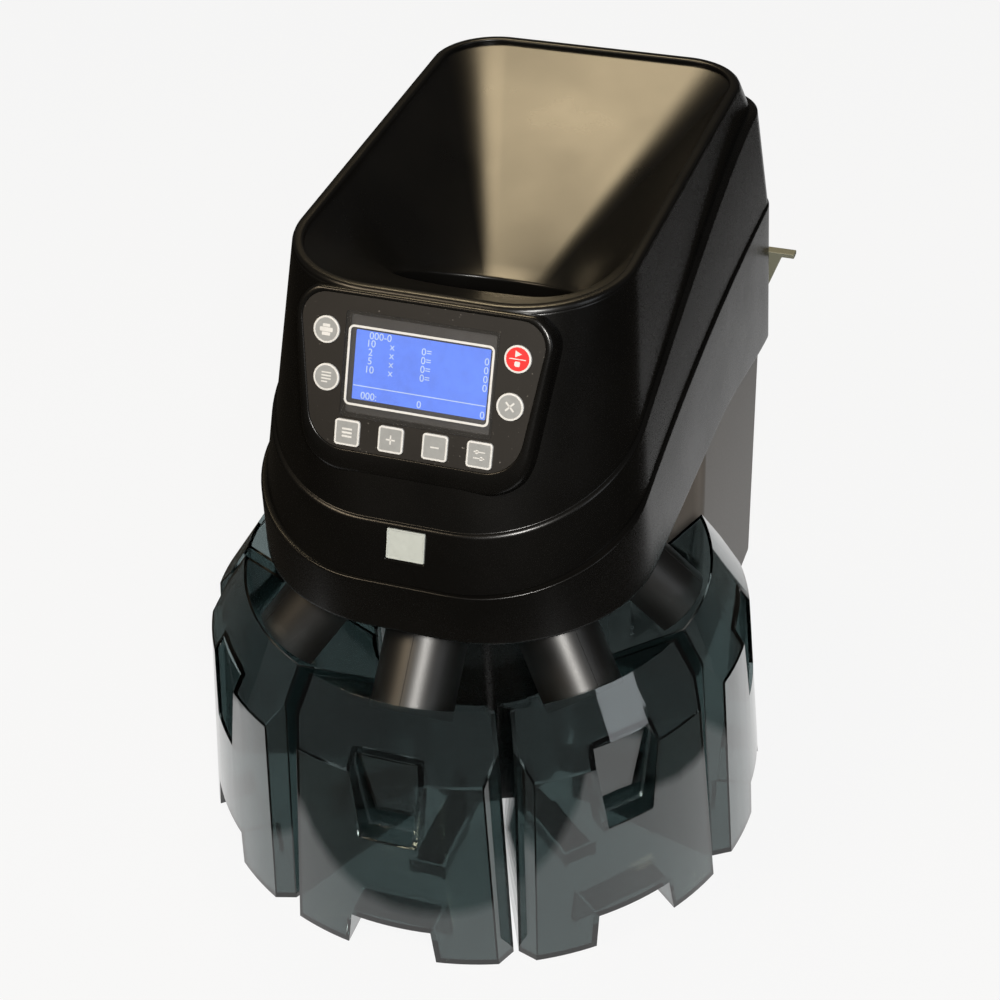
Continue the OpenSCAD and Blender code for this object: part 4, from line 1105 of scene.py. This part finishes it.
class SORTER_OT_stage(Step, bpy.types.Operator):
    """Set up the pale floor, the soft lights and the camera"""

    bl_idname = "sorter.stage"
    bl_label = "Stage"

    camera_place = (0.3349, -0.8654, 0.8899)
    camera_right = (0.9457, 0.3234, -0.0334)
    camera_up = (-0.1685, 0.5756, 0.8002)
    lens, sensor = 74.74, 36.0
    # Name, which is also that of its power, place, aimed at, width, height, colour
    lights = (
        ("main_light", (0.47, -0.98, 1.02), (0.0, 0.02, 0.22), 0.2, 0.2, (1.0, 0.97, 0.92)),
        ("warm_light", (-0.75, -0.85, 1.35), (0.0, 0.02, 0.22), 0.6, 0.4, (1.0, 0.8, 0.55)),
        ("side_light", (1.45, -0.35, 0.8), (0.0, 0.08, 0.2), 0.5, 0.7, (0.92, 0.96, 1.0)),
        ("top_light", (-0.25, 0.55, 1.33), (0.0, 0.1, 0.3), 0.35, 0.35, (1.0, 0.8, 0.5)),
    )
    # Floor: width, share of even white in what is seen of it, and strength of that white
    floor_size, floor_white, glow = 60.0, 0.93, 0.97
    # The floor in gloss: how pale it is, its front, its sides and the width of its fading edge
    gloss_white, table_front, table_half, table_fade = 0.75, -0.205, 0.255, 0.006
    # The room: colour of its light, and how white it is behind the floor
    room_colour, room_white = (1.0, 0.99, 0.97), 0.904
    clip_start = 0.01

    def floor_finish(self, colour):
        """A pale floor, seen as even white by the camera and through the boxes, that keeps its shadow."""
        f = Finish("pale_floor")
        tone = f.tones(f.noise(40.0, 3.0), colour, 0.985, 1.0)
        f.shade(Base_Color=tone, Roughness=0.9, Specular_IOR_Level=0.2)
        seen, gloss, through = (f.light_path(ray) for ray in ("Camera", "Glossy", "Transmission"))
        across, deep = (f.node("ShaderNodeSeparateXYZ", {0: f.place()}, axis) for axis in ("X", "Y"))
        fade, front, half = self.table_fade, self.table_front, self.table_half
        near = f.ramp(deep, front - fade, front + fade) * f.ramp(across, half - fade, half + fade, 1.0, 0.0)
        near = near * f.ramp(across, -half - fade, -half + fade)
        white, pale, dark = (rgba((v, v, v)) for v in (1.0, self.gloss_white, 0.0))
        shown = f.mix(seen, f.mix(through, f.mix(near, dark, pale), pale), white)
        glow = f.node("ShaderNodeEmission", {"Color": shown, "Strength": self.glow})
        lit_up = (seen + gloss + through) * self.floor_white
        plain = Field(f, f.surface.outputs[0])
        f.show(f.node("ShaderNodeMixShader", {0: lit_up, 1: plain, 2: glow}))
        return f.material

    def floor(self, stage):
        floor = added(bpy.ops.mesh.primitive_plane_add, "floor", size=self.floor_size)
        floor.data.materials.append(self.floor_finish(stage.floor))

    def lamps(self, stage):
        for name, place, aim, width, height, colour in self.lights:
            lamp = added(bpy.ops.object.light_add, name, type="AREA", location=place)
            lamp.rotation_euler = (Vector(aim) - Vector(place)).to_track_quat("-Z", "Y").to_euler()
            lamp.data.shape = "RECTANGLE"
            lamp.data.size, lamp.data.size_y = width, height
            lamp.data.color = colour
            lamp.data.energy = getattr(stage, name)

    def room(self, stage):
        """An even dim room that is white where the camera or a clear box looks past the floor."""
        world = bpy.data.worlds.new("room")
        world.use_nodes = True
        room = Tree(world.node_tree, "ShaderNodeOutputWorld")
        even, white = (room.node("ShaderNodeBackground", {"Color": rgba(colour), "Strength": strength})
            for colour, strength in ((self.room_colour, stage.world), ((self.room_white,) * 3, 1.0)))
        seen = room.light_path("Camera") + room.light_path("Transmission")
        room.show(room.node("ShaderNodeMixShader", {0: seen, 1: even, 2: white}))
        return world

    def camera(self):
        camera = added(bpy.ops.object.camera_add, "photo_camera")
        right, up = Vector(self.camera_right).normalized(), Vector(self.camera_up).normalized()
        turn = Matrix((right, up, right.cross(up))).transposed().to_4x4()
        camera.matrix_world = Matrix.Translation(self.camera_place) @ turn
        camera.data.lens, camera.data.sensor_width = self.lens, self.sensor
        camera.data.clip_start = self.clip_start
        return camera

    def build(self):
        scene = bpy.context.scene
        self.floor(scene.sorter_stage)
        self.lamps(scene.sorter_stage)
        scene.world = self.room(scene.sorter_stage)
        scene.camera = self.camera()
        scene.view_settings.view_transform = "Standard"


PIECES = (SORTER_OT_inside, SORTER_OT_upper_housing, SORTER_OT_lower_housing, SORTER_OT_hopper,
          SORTER_OT_panel, SORTER_OT_display, SORTER_OT_keys, SORTER_OT_badge, SORTER_OT_chutes,
          SORTER_OT_coin_boxes, SORTER_OT_column, SORTER_OT_base, SORTER_OT_stage)


class SORTER_PT_panel(bpy.types.Panel):
    """Lists the sizes, the colours and the steps that build the sorter"""

    bl_idname = "SORTER_PT_panel"
    bl_label = "Coin sorter"
    bl_space_type = "VIEW_3D"
    bl_region_type = "UI"
    bl_category = "Coin sorter"

    def draw(self, context):
        for name, kind in GROUPS:
            box = self.layout.box()
            for setting in kind.__annotations__:
                box.prop(getattr(context.scene, name), setting)
        for piece in PIECES:
            self.layout.operator(piece.bl_idname)


GROUPS = (("sorter_sizes", SorterSizes), ("sorter_colours", SorterColours), ("sorter_stage", SorterStage))
CLASSES = (SorterSizes, SorterColours, SorterStage) + PIECES + (SORTER_PT_panel,)


def register():
    for cls in CLASSES:
        bpy.utils.register_class(cls)
    for name, group in GROUPS:
        setattr(bpy.types.Scene, name, PointerProperty(type=group))


def unregister():
    for name, _ in GROUPS:
        delattr(bpy.types.Scene, name)
    for cls in reversed(CLASSES):
        bpy.utils.unregister_class(cls)


def main():
    register()
    make_finishes()
    for piece in PIECES:
        group, name = piece.bl_idname.split(".")
        getattr(getattr(bpy.ops, group), name)()


if __name__ == "__main__":
    main()
